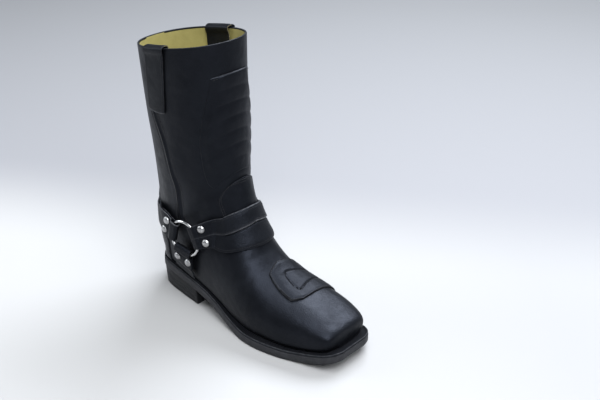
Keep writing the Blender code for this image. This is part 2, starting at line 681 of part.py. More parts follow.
def make_rivet(name, strap, band, at, across, material):
    """Domed rivet head on the outer face of a strap."""
    top = 2 * STRAP_THICK + GAP
    step = 0.05
    share = across / smooth(strap.widths, np.array(RIVET_AT))
    spot = strap.point(at, share, top)
    along = strap.point(at + 1, share, top) - spot
    sideways = strap.point(at, share + step, top) - spot
    axis = unit(np.cross(along, sideways))
    seat_axis = strap.seats[0 if at < strap.length / 2 else -1].axis
    axis = axis * np.sign(axis @ seat_axis)
    first = unit(np.cross(axis, (0, 0, 1.0)))
    second = np.cross(axis, first)
    sides = 12
    turn = np.arange(sides) * 2 * np.pi / sides
    rim = np.column_stack([np.cos(turn), np.sin(turn), np.zeros(sides)]) * RIVET_RADIUS
    high = spot + axis * (2 * RIVET_HEIGHT)
    over_rim = high + rim[:, :1] * first + rim[:, 1:2] * second
    base = high - axis * (clearance(band, over_rim, axis) - GAP)
    rings = ((1.0, 0.0), (0.9, 0.5), (0.55, 0.88))
    loops = [rim * width + (0, 0, RIVET_HEIGHT * height) for width, height in rings]
    points = np.concatenate(loops + [[(0, 0, RIVET_HEIGHT)]])
    crown = len(points) - 1
    last = (len(rings) - 1) * sides
    faces = band_faces(len(rings), sides, closed=False)
    faces += [tuple(range(sides))]
    faces += [(last + k, last + (k + 1) % sides, crown) for k in range(sides)]
    place(make_solid(name, points, faces, material), base, first, second, axis)


def through(places, steps=40):
    """Smooth line of places through a few of them."""
    places = np.array(places, float)
    padded = np.concatenate([[2 * places[0] - places[1]], places, [2 * places[-1] - places[-2]]])
    line = []
    for k in range(1, len(padded) - 2):
        a, b, c, d = padded[k - 1:k + 3]
        for t in np.arange(steps) / steps:
            square, cubic = 2 * a - 5 * b + 4 * c - d, 3 * (b - c) + d - a
            line.append(b + 0.5 * t * ((c - a) + t * (square + t * cubic)))
    return np.array(line + [places[-1]])


def strap_places(points):
    """Places on the upper along a smooth line through points in space."""
    u, v = find_places(through(points, steps=12))
    return np.column_stack([u, np.unwrap(v, period=2)])


def leaving(seat, name, steps=LEAVE_STEPS):
    """The ring's centre and the points by which a strap leaves it."""
    turn = np.radians(STRAP_ANGLES[name])
    way = np.array([0.0, np.cos(turn), np.sin(turn)])
    way = unit(way - seat.axis * (way @ seat.axis))
    return [seat.centre] + [seat.centre + way * step for step in steps]


def ring_to_ring(seats, name, places):
    """Line from the lateral ring through places on both sides to the medial ring."""
    middle = [surface(u, -v) for u, v in places]
    other = [surface(u, v) for u, v in places[-2::-1]]
    return strap_places(leaving(seats[0], name) + middle + other + leaving(seats[1], name)[::-1])


def make_harness(leather, steel):
    seats = {side: RingSeat(sign) for side, sign in (("lateral", -1), ("medial", 1))}
    both = [seats["lateral"], seats["medial"]]
    straps = {
        "front_strap": Strap(ring_to_ring(both, "front", FRONT_STRAP_PLACES), FRONT_STRAP_WIDTH, both),
        "heel_strap": Strap(ring_to_ring(both, "heel", HEEL_STRAP_PLACES), HEEL_STRAP_WIDTH, both),
    }
    for side, seat in seats.items():
        places = strap_places(leaving(seat, "lower", LEAVE_STEPS + (LOWER_STRAP_REACH,)))
        straps["lower_strap_" + side] = Strap(places, LOWER_STRAP_WIDTH, [seat])
        make_ring("ring_" + side, seat, steel)
    for name, strap in straps.items():
        band = make_strap(name, strap, leather, stepped=name == "front_strap")
        ends = [RIVET_AT] if len(strap.seats) == 1 else [RIVET_AT, strap.length - RIVET_AT]
        for end, at in enumerate(ends):
            for row, across in enumerate((-RIVET_SPREAD, RIVET_SPREAD)):
                make_rivet(f"rivet_{name}_{end * 2 + row + 1}", strap, band, at, across, steel)


# Pull straps
def make_pull_strap(side, sign, material):
    """Loop of leather sewn down outside and inside the shaft, standing over the collar."""
    rim_u = np.array(float(COLLAR_ROW))
    middle_v = sign * PULL_SIDE[side]
    along_u, along_v = slopes(rim_u - 0.5, np.array(middle_v))
    per_u, girth = np.linalg.norm(along_u), np.linalg.norm(along_v)
    out, into = OVERLAY_GAP + PULL_THICK / 2, -WALL - OVERLAY_GAP - PULL_THICK / 2
    path = [(-PULL_OUTSIDE * share, out) for share in (1.0, 0.7, 0.4)]
    path += [(-below, out + off) for below, off in PULL_BEND]
    for degrees in range(0, 181, 30):
        turn = np.radians(degrees)
        path.append((LOOP_RISE * np.sin(turn), -WALL / 2 + LOOP_REACH * np.cos(turn)))
    path += [(-below, into - off) for below, off in PULL_BEND[::-1]]
    path += [(-PULL_INSIDE * share, into) for share in (0.5, 1.0)]
    path = np.array(path)
    along = unit(np.gradient(path, axis=0))
    outward = np.stack([-along[:, 1], along[:, 0]], -1) * PULL_THICK / 2
    across = np.linspace(-1, 1, 5) * PULL_HALF_WIDTH

    def on_shaft(points):
        climb, height = points[:, :1], points[:, 1:]
        fall = np.where(height > 0, np.maximum(-climb, 0), 0)
        v = middle_v + sign * (across + PULL_DRIFT * fall) / girth
        slant = across * PULL_SLANT * np.clip(fall / PULL_OUTSIDE, 0, 1)
        u = COLLAR_ROW + (np.minimum(climb, 0) + slant) / per_u
        upward = unit(slopes(u, v)[0])
        return lifted(u, v, np.broadcast_to(height, u.shape)) + upward * np.maximum(climb, 0)[..., None]

    return shell("pull_strap_" + side, on_shaft(path + outward), on_shaft(path - outward), material)


# Scene
def clear_scene():
    for old in list(bpy.data.objects):
        bpy.data.objects.remove(old, do_unlink=True)


def gather(name):
    """Parents every piece to one empty on the floor."""
    root = bpy.data.objects.new(name, None)
    bpy.context.collection.objects.link(root)
    for piece in [o for o in bpy.data.objects if o is not root]:
        piece.parent = root


def main():
    clear_scene()
    leather = make_material("black_leather", (0.022, 0.023, 0.027), 0.42, 0.0)
    rubber = make_material("black_rubber", (0.020, 0.020, 0.021), 0.75, 0.0)
    lining = make_material("tan_lining", (0.42, 0.36, 0.16), 0.8, 0.0)
    steel = make_material("polished_steel", (0.62, 0.62, 0.63), 0.22, 1.0)
    make_upper(leather)
    make_outsole(rubber)
    make_welt(leather)
    make_heel(rubber)
    make_insole(lining)
    make_counter(leather)
    make_shin_pad(leather)
    make_tongue(leather)
    make_vamp_pad(leather)
    for side, sign in (("lateral", -1), ("medial", 1)):
        make_side_seam("side_seam_" + side, sign, leather)
        make_pull_strap(side, sign, leather)
    make_harness(leather, steel)
    gather("boot")


main()
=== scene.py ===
"""Looks of the harness motorcycle boot: leather, lining, stitching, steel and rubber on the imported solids.

Frame: +Z up from the floor, toe towards -Y, heel towards +Y, lateral (outer) side -X, medial side +X.
Shapes are worked out in millimetres, and MM turns them into metres where the meshes are made.
"""

import bmesh
import bpy
import numpy as np
from mathutils import Matrix, Vector


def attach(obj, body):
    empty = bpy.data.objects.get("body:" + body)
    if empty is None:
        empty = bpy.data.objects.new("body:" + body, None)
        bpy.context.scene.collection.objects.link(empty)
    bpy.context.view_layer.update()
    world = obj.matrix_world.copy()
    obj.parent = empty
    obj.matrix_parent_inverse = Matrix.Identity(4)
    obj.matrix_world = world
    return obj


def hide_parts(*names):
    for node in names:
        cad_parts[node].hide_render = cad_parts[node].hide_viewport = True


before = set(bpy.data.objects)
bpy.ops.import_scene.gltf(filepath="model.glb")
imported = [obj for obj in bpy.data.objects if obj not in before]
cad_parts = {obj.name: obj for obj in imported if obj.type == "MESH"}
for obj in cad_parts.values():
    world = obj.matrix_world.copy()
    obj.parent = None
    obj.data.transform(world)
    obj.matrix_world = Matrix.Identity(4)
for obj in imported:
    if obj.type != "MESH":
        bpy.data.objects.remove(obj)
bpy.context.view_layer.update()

MM = 0.001

# Driving sizes of the shell and the sole
WALL = 2.4              # leather and lining of the upper
GAP = 0.3               # between pieces that rest on each other
OVERLAY_GAP = 0.85      # between the curved upper and the pull straps
WELT_THICK = 3.0
OUTSOLE_THICK = 9.8
SOLE_STACK = OUTSOLE_THICK + GAP + WELT_THICK + GAP
WELT_INSIDE = 4.5       # how far the welt reaches in under the upper
INSOLE_RISE = 1.5       # top of the insole over the welt line
BREAST_Y = -42.0        # front face of the heel
HEEL_INSET = (2.6, 0.8)         # how far the heel stands inside the sole's edge, at the floor and at its top

# Height of the outsole's underside along the foot: toe spring, flat tread, arch and heel seat.
# Columns: along, height.
SOLE_PROFILE = (
    (-264, 14.2), (-240, 7.4), (-215, 2.2), (-195, 0.0), (-138, 0.0), (-112, 4.0),
    (-85, 12.5), (-60, 19.0), (-36, 22.8), (-5, 25.4), (48, 27.0),
)
# How far the sole edge stands out from the upper along the foot. Columns: along, overhang.
SOLE_EDGE = (
    (-250, 10.5), (-244, 7.0), (-225, 5.4), (-150, 8.0), (-95, 4.5), (-62, 3.2), (-20, 3.6), (45, 4.0),
)

# Sections of the last and shaft. Each is a plane from the front ridge line to the welt, or to the
# back seam of the shaft. Lateral and medial are half widths, tuck is the share of them left at the
# welt line, and square is the exponent that makes a section rounder or boxier.
# A front or back height of 0 means on the welt.
# Columns: front_y, front_z, back_y, back_z, lateral, medial, axis, tuck, square.
FRONT_Z, BACK_Y, BACK_Z = 1, 2, 3
SECTIONS = (
    (-250.0, 0.0, -250.0, 0.0, 20.0, 18.0, 6.8, 1.00, 2.60),
    (-249.5, 38.0, -247.5, 0.0, 28.5, 27.0, 6.8, 0.99, 3.40),
    (-246.0, 44.5, -242.5, 0.0, 34.5, 33.5, 6.8, 0.98, 3.50),
    (-232.0, 50.0, -230.0, 0.0, 40.0, 40.0, 6.5, 0.97, 3.30),
    (-209.0, 57.5, -209.0, 0.0, 45.5, 45.5, 5.5, 0.96, 2.90),
    (-178.0, 66.0, -180.0, 0.0, 51.5, 49.0, 3.5, 0.95, 2.45),
    (-151.0, 77.0, -150.0, 0.0, 53.5, 48.0, 1.5, 0.94, 2.20),
    (-129.0, 94.0, -118.0, 0.0, 50.5, 45.5, 0.0, 0.93, 2.10),
    (-113.5, 115.0, -80.0, 0.0, 46.5, 43.0, 0.0, 0.92, 2.00),
    (-102.5, 135.0, -40.0, 0.0, 43.5, 41.5, 0.0, 0.90, 2.00),
    (-96.5, 152.0, -4.0, 0.0, 41.8, 41.5, 0.0, 0.84, 2.00),
    (-92.0, 168.0, 22.0, 0.0, 42.0, 42.0, 0.0, 0.72, 2.00),
    (-89.0, 178.0, 34.0, 0.0, 42.8, 42.8, 0.0, 0.50, 2.00),
    (-87.0, 187.0, 40.5, 0.0, 43.6, 43.4, 0.0, 0.26, 2.00),
    (-85.5, 195.0, 43.0, 0.0, 44.3, 44.0, 0.0, 0.00, 2.00),
    (-83.5, 207.0, 46.0, 56.0, 45.5, 45.0, 0.0, 0.00, 2.00),
    (-81.5, 222.0, 45.0, 82.0, 47.2, 46.5, 0.0, 0.00, 2.00),
    (-79.5, 246.0, 42.5, 124.0, 49.8, 48.5, 0.0, 0.00, 2.05),
    (-78.0, 276.0, 46.0, 182.0, 52.0, 50.0, 0.0, 0.00, 2.10),
    (-77.0, 307.0, 53.5, 241.0, 54.0, 51.5, 0.0, 0.00, 2.15),
    (-76.0, 348.0, 61.0, 322.5, 56.0, 52.5, 0.0, 0.00, 2.20),
)
HEEL_ROW = 14           # first section that closes at the back seam
COLLAR_ROW = len(SECTIONS) - 1

# Overlays on the upper. The tables give a side share for each section.
PAD_EDGE = ((4.57, -0.045), (4.85, -0.137), (6.23, -0.099), (6.55, 0.010))   # vamp pad's lateral edge
PAD_END = 0.95          # its medial end, just over the welt
RIB_COUNT = 7           # quilted ribs of the shin pad
RIB_HEIGHT = 1.3
SHIN_PAD_SIDE = ((13.75, 0.24), (14.8, 0.27), (16.9, 0.285), (19.15, 0.175))
TONGUE_SIDE = ((8.3, 0.235), (11.4, 0.235), (12.2, 0.20), (12.55, 0.135))
SEAM_SIDE = ((13.4, 0.489), (16.0, 0.478), (17.0, 0.508), (17.9, 0.535), (18.68, 0.576))
SEAM_WIDTH = 5.0
SEAM_HEIGHT = 1.4
COUNTER_REACH = 82.0    # degrees to each side of the back
COUNTER_CENTRE = 6.0    # middle of the heel's round, along the foot
COUNTER_RADIUS = 38.0
COUNTER_HEIGHT = (112.0, 152.0)         # top edge at the sides and at the back
COUNTER_CLEAR = 1.2     # over the welt line

# Harness: straps, rings and rivets
STRAP_THICK = 1.8
STRAP_LIFT = 2.8        # underside of a strap over the upper, clear of what lies beneath it
RING_RADIUS = 22.5      # middle of the wire
RING_WIRE = 3.6
POCKET = RING_WIRE + 2 * GAP
FOLD_AT = 13.5          # from the ring's centre to the strap's folded edge
POCKET_END = 25.0
TAIL_END = 41.0         # the folded tail ends here, under the strap
RUN_START = 48.0        # from here the strap is a single layer
FLAT_UNTIL = 27.0       # the straps follow the flat ring up to here
RIVET_AT = 33.0
RIVET_RADIUS = 4.8
RING_PLACE = (10.8, 0.485)              # ring centre on the upper: section, share of the half girth
STRAP_ANGLES = {"front": 156.0, "heel": 13.0, "lower": -80.0}   # from straight back, upwards
LEAVE_STEPS = (15.0, 30.0, 45.0)        # each strap leaves the ring straight through these distances
LOWER_STRAP_REACH = 54.7                # the lower straps end here, just over the welt
FRONT_STRAP_PLACES = ((9.05, 0.24), (8.53, 0.0))                # then over the ridge line
HEEL_STRAP_PLACES = ((16.5, 1.0),)                              # then over the back seam
# Strap widths. Columns: distance from the ring, half width.
FRONT_STRAP_WIDTH = ((12, 14.0), (36, 16.5), (60, 22.0), (110, 27.0))
HEEL_STRAP_WIDTH = ((12, 12.0), (36, 15.5), (90, 18.5))
LOWER_STRAP_WIDTH = ((12, 12.0), (36, 15.5), (58, 20.0))
STEP_THICK = 1.5        # the front strap's upper band over its lower band
# The front strap's step, above its middle. Columns: distance from the ring, share of the half width.
RIDGE_SIDE = ((48, -0.05), (75, 0.06), (115, 0.30))

# Pull straps over the collar
PULL_SIDE = {"lateral": 0.503, "medial": 0.535}         # its middle on the collar, share of the half girth
PULL_HALF_WIDTH = 19.5
PULL_OUTSIDE = 86.0     # length down the outer face
PULL_INSIDE = 60.0
PULL_DRIFT = 0.17       # the outer leg runs this much towards the heel for its length
PULL_SLANT = 0.5        # its end rises this much towards the heel for its width
PULL_THICK = 1.8
PULL_BEND = ((14.0, 0.3), (6.0, 2.0))   # distance under the collar, and how far the strap stands off there
LOOP_RISE = 3.2         # middle of the loop over the collar
LOOP_REACH = 5.5        # half width of the loop, across the wall

SIDES = {"lateral": -1, "medial": 1}    # signs of x and of the side share

# Shape functions
def smooth(table, at):
    """Height at each place along a table of (place, height), with no overshoot between the rows."""
    place, height = np.array(table, float).T
    span = np.diff(place)
    slope = np.diff(height) / span
    tangent = np.zeros(len(place))
    tangent[0], tangent[-1] = slope[0], slope[-1]
    for k in range(1, len(place) - 1):
        if slope[k - 1] * slope[k] > 0:
            tangent[k] = 2 * slope[k - 1] * slope[k] / (slope[k - 1] + slope[k])
    at = np.clip(np.asarray(at, float), place[0], place[-1])
    k = np.clip(np.searchsorted(place, at) - 1, 0, len(span) - 1)
    t = (at - place[k]) / span[k]
    start = (2 * t**3 - 3 * t**2 + 1) * height[k] + (t**3 - 2 * t**2 + t) * span[k] * tangent[k]
    end = (3 * t**2 - 2 * t**3) * height[k + 1] + (t**3 - t**2) * span[k] * tangent[k + 1]
    return start + end


def curve(before, here, after, later, t):
    """Smooth run from one value to the next, led by the values on both sides of them."""
    cubic = 3 * (here - after) + later - before
    square = 2 * before - 5 * here + 4 * after - later
    return here + 0.5 * t * ((after - before) + t * (square + t * cubic))


def tread_height(along):
    return smooth(SOLE_PROFILE, along)


def welt_line(along):
    """Height of the upper's lower edge, just over the welt."""
    return tread_height(along) + SOLE_STACK


def seated_sections():
    rows = np.array(SECTIONS, float)
    for column in (FRONT_Z, BACK_Z):
        on_welt = rows[:, column] == 0.0
        rows[on_welt, column] = welt_line(rows[on_welt, column - 1])
    return rows


ROWS = seated_sections()


def section(u):
    """All the columns of the section table at place u, smooth from row to row."""
    u = np.clip(np.asarray(u, float), 0, COLLAR_ROW)
    k = np.minimum(u.astype(int), COLLAR_ROW - 1)
    four = [ROWS[np.clip(k + step, 0, COLLAR_ROW)] for step in (-1, 0, 1, 2)]
    columns = curve(*four, (u - k)[..., None])
    columns[..., BACK_Z] = np.where(u <= HEEL_ROW, welt_line(columns[..., BACK_Y]), columns[..., BACK_Z])
    return columns


def signed_power(x, exponent):
    return np.sign(x) * np.abs(x) ** exponent


def wrapped(v):
    """Side share brought back between -1 and 1 where it runs on past the back seam."""
    return np.where(np.abs(v) > 1, (v + 1) % 2 - 1, v)


def surface(u, v):
    """Outer face of the upper: u counts sections from toe to collar, v runs from the ridge line
    (0) to the welt or the back seam, -1 on the lateral side and 1 on the medial side."""
    u, v = np.broadcast_arrays(np.asarray(u, float), np.asarray(v, float))
    v = wrapped(v)
    front_y, front_z, back_y, back_z, lateral, medial, axis, tuck, square = np.moveaxis(section(u), -1, 0)
    tucked = np.arcsin(np.clip(tuck, 0, 1) ** (square / 2))
    half_turn = np.pi - tucked
    spread = np.clip(0.9 * np.pi / np.maximum(tucked, 0.1), 1, 5)
    turn = np.pi * np.abs(v) - tucked * np.abs(v) ** spread
    width = np.where(v < 0, lateral, medial)
    x = axis + np.sign(v) * width * signed_power(np.sin(turn), 2 / square)
    down = 1 - signed_power(np.cos(turn), 2 / square)
    share = down / (1 - signed_power(np.cos(half_turn), 2 / square))
    return np.stack([x, front_y + (back_y - front_y) * share, front_z + (back_z - front_z) * share], -1)


def unit(vectors):
    return vectors / np.linalg.norm(vectors, axis=-1, keepdims=True)


def slopes(u, v):
    """Steps of the surface for a unit of u and of v."""
    du, dv = 0.02, 0.004
    low, high = np.clip(u - du, 0, COLLAR_ROW), np.clip(u + du, 0, COLLAR_ROW)
    along_u = (surface(high, v) - surface(low, v)) / (high - low)[..., None]
    along_v = (surface(u, v + dv) - surface(u, v - dv)) / (2 * dv)
    return along_u, along_v


def normal(u, v):
    """Outward direction, read a little inside the edges where the surface is well formed."""
    u, v = np.broadcast_arrays(np.asarray(u, float), np.asarray(v, float))
    inside = np.where(u < HEEL_ROW, np.clip(wrapped(v), -0.96, 0.96), v)
    along_u, along_v = slopes(np.clip(u, 0.3, COLLAR_ROW), inside)
    return unit(np.cross(along_u, along_v) * -1)


def lifted(u, v, height):
    return surface(u, v) + normal(u, v) * np.asarray(height, float)[..., None]


def nearest(points, u, v):
    """Place on the upper that is closest to each point, from a first guess."""
    for _ in range(14):
        along_u, along_v = slopes(u, v)
        miss = points - surface(u, v)
        uu, vv = (along_u**2).sum(-1), (along_v**2).sum(-1)
        uv = (along_u * along_v).sum(-1)
        ru, rv = (along_u * miss).sum(-1), (along_v * miss).sum(-1)
        det = uu * vv - uv**2
        u = np.clip(u + np.clip((ru * vv - rv * uv) / det, -0.4, 0.4), 0.3, COLLAR_ROW)
        v = v + np.clip((rv * uu - ru * uv) / det, -0.06, 0.06)
        v = np.where(u < HEEL_ROW, np.clip(wrapped(v), -0.995, 0.995), v)
    return u, v


def find_places(points):
    """Section and side of the closest place on the upper, found from a coarse search."""
    u, v = np.meshgrid(np.linspace(0.5, COLLAR_ROW, 79), np.linspace(-0.98, 1.0, 100), indexing="ij")
    samples = surface(u, v).reshape(-1, 3)
    flat = points.reshape(-1, 3)
    first = [int(((samples - p) ** 2).sum(-1).argmin()) for p in flat]
    u, v = nearest(flat, u.reshape(-1)[first], v.reshape(-1)[first])
    return u.reshape(points.shape[:-1]), v.reshape(points.shape[:-1])


def smoothstep(low, high, x):
    t = np.clip((x - low) / (high - low), 0, 1)
    return t * t * (3 - 2 * t)


class RingSeat:
    """Flat frame of one ring: its centre on the upper, its axes and the lift that clears the upper."""

    def __init__(self, side):
        u, v = np.array(RING_PLACE[0]), np.array(RING_PLACE[1] * side)
        self.centre, self.axis = surface(u, v), normal(u, v)
        near = np.linspace(-FLAT_UNTIL, FLAT_UNTIL, 9)
        a, b = np.meshgrid(near, near)
        across = unit(np.cross(self.axis, (0, 0, 1.0)))
        upward = np.cross(across, self.axis)
        disc = self.centre + a[..., None] * across + b[..., None] * upward
        places = nearest(disc, np.full(a.shape, float(u)), np.full(a.shape, float(v)))
        heights = (surface(*places) - self.centre) @ self.axis
        self.rise = max(0.0, float(heights[np.hypot(a, b) <= FLAT_UNTIL].max()))
        self.across, self.upward = across, upward

    def flatten(self, base, height):
        """Points over the ring's own plane instead of over the curved upper."""
        drop = (base - self.centre) @ self.axis
        return base + self.axis * (self.rise + height - drop)[..., None]


class Strap:
    """Band along a line of places on the upper, from one ring to another ring or to a free end."""

    def __init__(self, places, widths, seats):
        self.places, self.widths, self.seats = np.array(places), widths, seats
        points = surface(*self.places.T)
        steps = np.linalg.norm(np.diff(points, axis=0), axis=1)
        self.travel = np.concatenate([[0], np.cumsum(steps)])
        self.length = self.travel[-1]

    def from_ring(self, s):
        """Distance to the nearer ring along the strap."""
        return np.minimum(s, self.length - s) if len(self.seats) == 2 else s

    def place(self, s):
        """Section and side at a length s."""
        return [np.interp(s, self.travel, column) for column in self.places.T]

    def point(self, s, across, height):
        """Point at a length s, a share across the width and a height over the strap's underside."""
        s, across, height = np.broadcast_arrays(*(np.asarray(x, float) for x in (s, across, height)))
        u, v = self.place(s)
        step = 1.0
        along = unit(surface(*self.place(s + step)) - surface(*self.place(s - step)))
        sideways = np.cross(normal(u, v), along)
        offset = across * smooth(self.widths, self.from_ring(s))
        u, v = nearest(surface(u, v) + sideways * offset[..., None], u, v)
        lift = height + STRAP_LIFT
        result = lifted(u, v, lift)
        for seat, distance in zip(self.seats, (s, self.length - s)):
            flat = 1 - smoothstep(FLAT_UNTIL, RUN_START, distance)
            result += flat[..., None] * (seat.flatten(surface(u, v), lift) - result)
        return result


def through(places, steps):
    """Smooth line of places through a few of them."""
    places = np.array(places, float)
    padded = np.concatenate([[2 * places[0] - places[1]], places, [2 * places[-1] - places[-2]]])
    t = np.arange(steps)[:, None] / steps
    line = [curve(*padded[k:k + 4], t) for k in range(len(padded) - 3)]
    return np.concatenate([*line, places[-1:]])


def strap_places(points):
    """Places on the upper along a smooth line through points in space."""
    u, v = find_places(through(points, steps=12))
    return np.column_stack([u, np.unwrap(v, period=2)])


def leaving(seat, name, steps=LEAVE_STEPS):
    """The ring's centre and the points by which a strap leaves it."""
    turn = np.radians(STRAP_ANGLES[name])
    way = np.array([0.0, np.cos(turn), np.sin(turn)])
    way = unit(way - seat.axis * (way @ seat.axis))
    return [seat.centre] + [seat.centre + way * step for step in steps]


def ring_to_ring(seats, name, places):
    """Line from the lateral ring through places on both sides to the medial ring."""
    middle = [surface(u, -v) for u, v in places]
    other = [surface(u, v) for u, v in places[-2::-1]]
    return strap_places(leaving(seats[0], name) + middle + other + leaving(seats[1], name)[::-1])


# Camera, light and floor, in metres
IMAGE_WIDTH, FOCAL_PIXELS = 600, 950.0      # pixels
SENSOR = 36.0                               # millimetres
CAMERA_AZIMUTH, CAMERA_ELEVATION, CAMERA_ROLL = -48.19, 28.51, 0.86     # degrees
CAMERA_DISTANCE = 1.1392
CAMERA_AIM = np.array([0.04915, -0.1335, 0.150])
LIGHT_AIM = np.array([0.0, -0.1, 0.1])
# Columns: name, place behind the aim, to its right and over it as the camera sees it, size, power, colour.
SOFTBOXES = (
    ("key", (1.2, 0.75, 1.75), (1.6, 1.05), 100.0, (0.89, 0.93, 1.0)),
    ("top", (-0.45, 0.2, 2.2), (1.5, 1.5), 44.0, (0.95, 0.97, 1.0)),
    ("side", (0.5, -1.9, 1.0), (0.9, 1.2), 20.0, (0.92, 0.96, 1.0)),
    ("window", (0.2, 2.1, 1.05), (0.9, 0.7), 4.0, (0.90, 0.95, 1.0)),
    ("front", (-1.15, 0.35, 1.35), (1.3, 1.0), 38.0, (0.95, 0.97, 1.0)),
)
SKY, SKY_STRENGTH = (0.78, 0.84, 0.93), 0.24


def camera_axes():
    """Right, up and back directions of the camera, before its roll."""
    turn, rise = np.radians(CAMERA_AZIMUTH), np.radians(CAMERA_ELEVATION)
    back = np.array([np.sin(turn) * np.cos(rise), -np.cos(turn) * np.cos(rise), np.sin(rise)])
    right = np.array([np.cos(turn), np.sin(turn), 0.0])
    return right, np.cross(back, right), back


def add_camera():
    right, up, back = camera_axes()
    roll = np.radians(CAMERA_ROLL)
    across, upward = right * np.cos(roll) + up * np.sin(roll), up * np.cos(roll) - right * np.sin(roll)
    data = bpy.data.cameras.new("camera")
    data.sensor_fit = "HORIZONTAL"
    data.sensor_width = SENSOR
    data.lens = FOCAL_PIXELS * SENSOR / IMAGE_WIDTH
    camera = bpy.data.objects.new("camera", data)
    turn = Matrix(np.column_stack([across, upward, back]).tolist()).to_4x4()
    camera.matrix_world = Matrix.Translation(Vector(CAMERA_AIM + back * CAMERA_DISTANCE)) @ turn
    bpy.context.collection.objects.link(camera)
    bpy.context.scene.camera = camera


def add_softbox(name, where, size, power, colour):
    """Area light at a place, turned to the boot."""
    data = bpy.data.lights.new(name, "AREA")
    data.shape = "RECTANGLE"
    data.size, data.size_y = size
    data.energy = power
    data.color = colour
    light = bpy.data.objects.new(name, data)
    light.location = Vector(where)
    light.rotation_euler = (Vector(LIGHT_AIM) - Vector(where)).to_track_quat("-Z", "Y").to_euler()
    bpy.context.collection.objects.link(light)


def add_light():
    right, _, back = camera_axes()
    behind = -np.array([back[0], back[1], 0.0]) / np.hypot(back[0], back[1])
    for name, (away, aside, over), size, power, colour in SOFTBOXES:
        add_softbox(name, LIGHT_AIM + behind * away + right * aside + (0, 0, over), size, power, colour)
    world = bpy.data.worlds.new("studio")
    world.use_nodes = True
    sky = world.node_tree.nodes["Background"]
    sky.inputs["Color"].default_value = (*SKY, 1.0)
    sky.inputs["Strength"].default_value = SKY_STRENGTH
    bpy.context.scene.world = world
    bpy.context.scene.view_settings.view_transform = "Standard"


# Materials
MIX_FIRST, MIX_SECOND, MIX_RESULT = 6, 7, 2     # colour sockets of a mix node


class Nodes:
    """Short way to add shader nodes and links to one material."""

    def __init__(self, name):
        self.material = bpy.data.materials.new(name)
        self.material.use_nodes = True
        self.tree = self.material.node_tree
        self.shader = self.tree.nodes["Principled BSDF"]
        self.place = self.add("ShaderNodeTexCoord", {}).outputs["Object"]

    def feed(self, socket, value):
        """Give a socket a colour, a direction, a number or what another node puts out."""
        if isinstance(value, bpy.types.NodeSocket):
            self.tree.links.new(value, socket)
        elif socket.type == "RGBA":
            socket.default_value = (*value, 1.0)
        else:
            socket.default_value = value

    def add(self, kind, inputs, **settings):
        """New node with some settings, its inputs fed by name or number."""
        node = self.tree.nodes.new(kind)
        for key, value in settings.items():
            setattr(node, key, value)
        for key, value in inputs.items():
            self.feed(node.inputs[key], value)
        return node

    def noise(self, scale, detail=3.0, roughness=0.55):
        inputs = {"Scale": scale, "Detail": detail, "Roughness": roughness, "Vector": self.place}
        return self.add("ShaderNodeTexNoise", inputs).outputs["Fac"]

    def cells(self, scale):
        return self.add("ShaderNodeTexVoronoi", {"Scale": scale, "Vector": self.place}).outputs["Distance"]

    def along(self, way):
        """How far a place lies along a direction."""
        node = self.add("ShaderNodeVectorMath", {0: self.place, 1: way}, operation="DOT_PRODUCT")
        return node.outputs["Value"]

    def mapped(self, value, low, high, to_low=0.0, to_high=1.0, kind="LINEAR"):
        inputs = {"Value": value, "From Min": low, "From Max": high, "To Min": to_low, "To Max": to_high}
        return self.add("ShaderNodeMapRange", inputs, interpolation_type=kind).outputs["Result"]

    def product(self, a, b):
        return self.add("ShaderNodeMath", {0: a, 1: b}, operation="MULTIPLY").outputs[0]

    def mix(self, share, first, second):
        """Colour between two colours or colour outputs."""
        inputs = {"Factor": share, MIX_FIRST: first, MIX_SECOND: second}
        return self.add("ShaderNodeMix", inputs, data_type="RGBA").outputs[MIX_RESULT]

    def clouds(self, scale, detail, first, second, low=0.3, high=0.7):
        """Two colours in soft clouds."""
        return self.mix(self.mapped(self.noise(scale, detail), low, high), first, second)

    def bump(self, height, distance, below=None):
        inputs = {"Strength": 1.0, "Distance": distance, "Height": height}
        if below is not None:
            inputs["Normal"] = below
        return self.add("ShaderNodeBump", inputs).outputs["Normal"]

    def attribute(self, name):
        return self.add("ShaderNodeAttribute", {}, attribute_name=name).outputs["Fac"]

    def set(self, **values):
        """The material, with some inputs of its shader fed."""
        for key, value in values.items():
            self.feed(self.shader.inputs[key.replace("_", " ")], value)
        return self.material


def scaled(colour, factor):
    return tuple(c * factor for c in colour)


def leather_material(name, colour, roughness, grain=0.00010, worn_and_highlit=(0.125, 0.13, 0.14), gloss=0.155):
    """Smooth black leather: fine pebble grain, cloudy tone, edges painted lighter by wearing and with
    painted highlights, and places painted paler as a painted sheen."""
    n = Nodes(name)
    tone = n.clouds(38.0, 4.0, scaled(colour, 0.72), scaled(colour, 1.35))
    # Pale marks from wearing, and painted highlights on edges that face the light
    scuff_and_highlight = n.product(n.attribute("wear"), n.mapped(n.noise(260.0), 0.35, 0.7, 0.25, 1.0))
    cloud = n.mapped(n.noise(90.0, 4.0), 0.25, 0.75, roughness - 0.05, roughness + 0.07)
    waves = n.bump(n.noise(30.0, 2.0), 0.0022)
    pores = n.bump(n.noise(3200.0, 2.0), grain * 0.5, waves)
    pebbles = n.bump(n.mapped(n.cells(760.0), 0.0, 0.75), grain, pores)
    # Painted sheen pales the leather further at a few places
    scuffed_highlit_and_sheened = n.mix(n.attribute("rubbed"), n.mix(scuff_and_highlight, tone, worn_and_highlit), worn_and_highlit)
    return n.set(Base_Color=scuffed_highlit_and_sheened, Roughness=cloud, Normal=pebbles,
                 Specular_IOR_Level=gloss, Specular_Tint=(0.68, 0.77, 1.0))


def lining_material():
    n = Nodes("tan_lining")
    tone = n.clouds(55.0, 5.0, (0.222, 0.192, 0.058), (0.268, 0.236, 0.078))
    flecks = n.mapped(n.noise(900.0, 2.0), 0.3, 0.7)
    dull = n.mapped(flecks, 0.0, 1.0, 0.62, 0.8)
    return n.set(Base_Color=tone, Roughness=dull, Normal=n.bump(flecks, 0.00012))


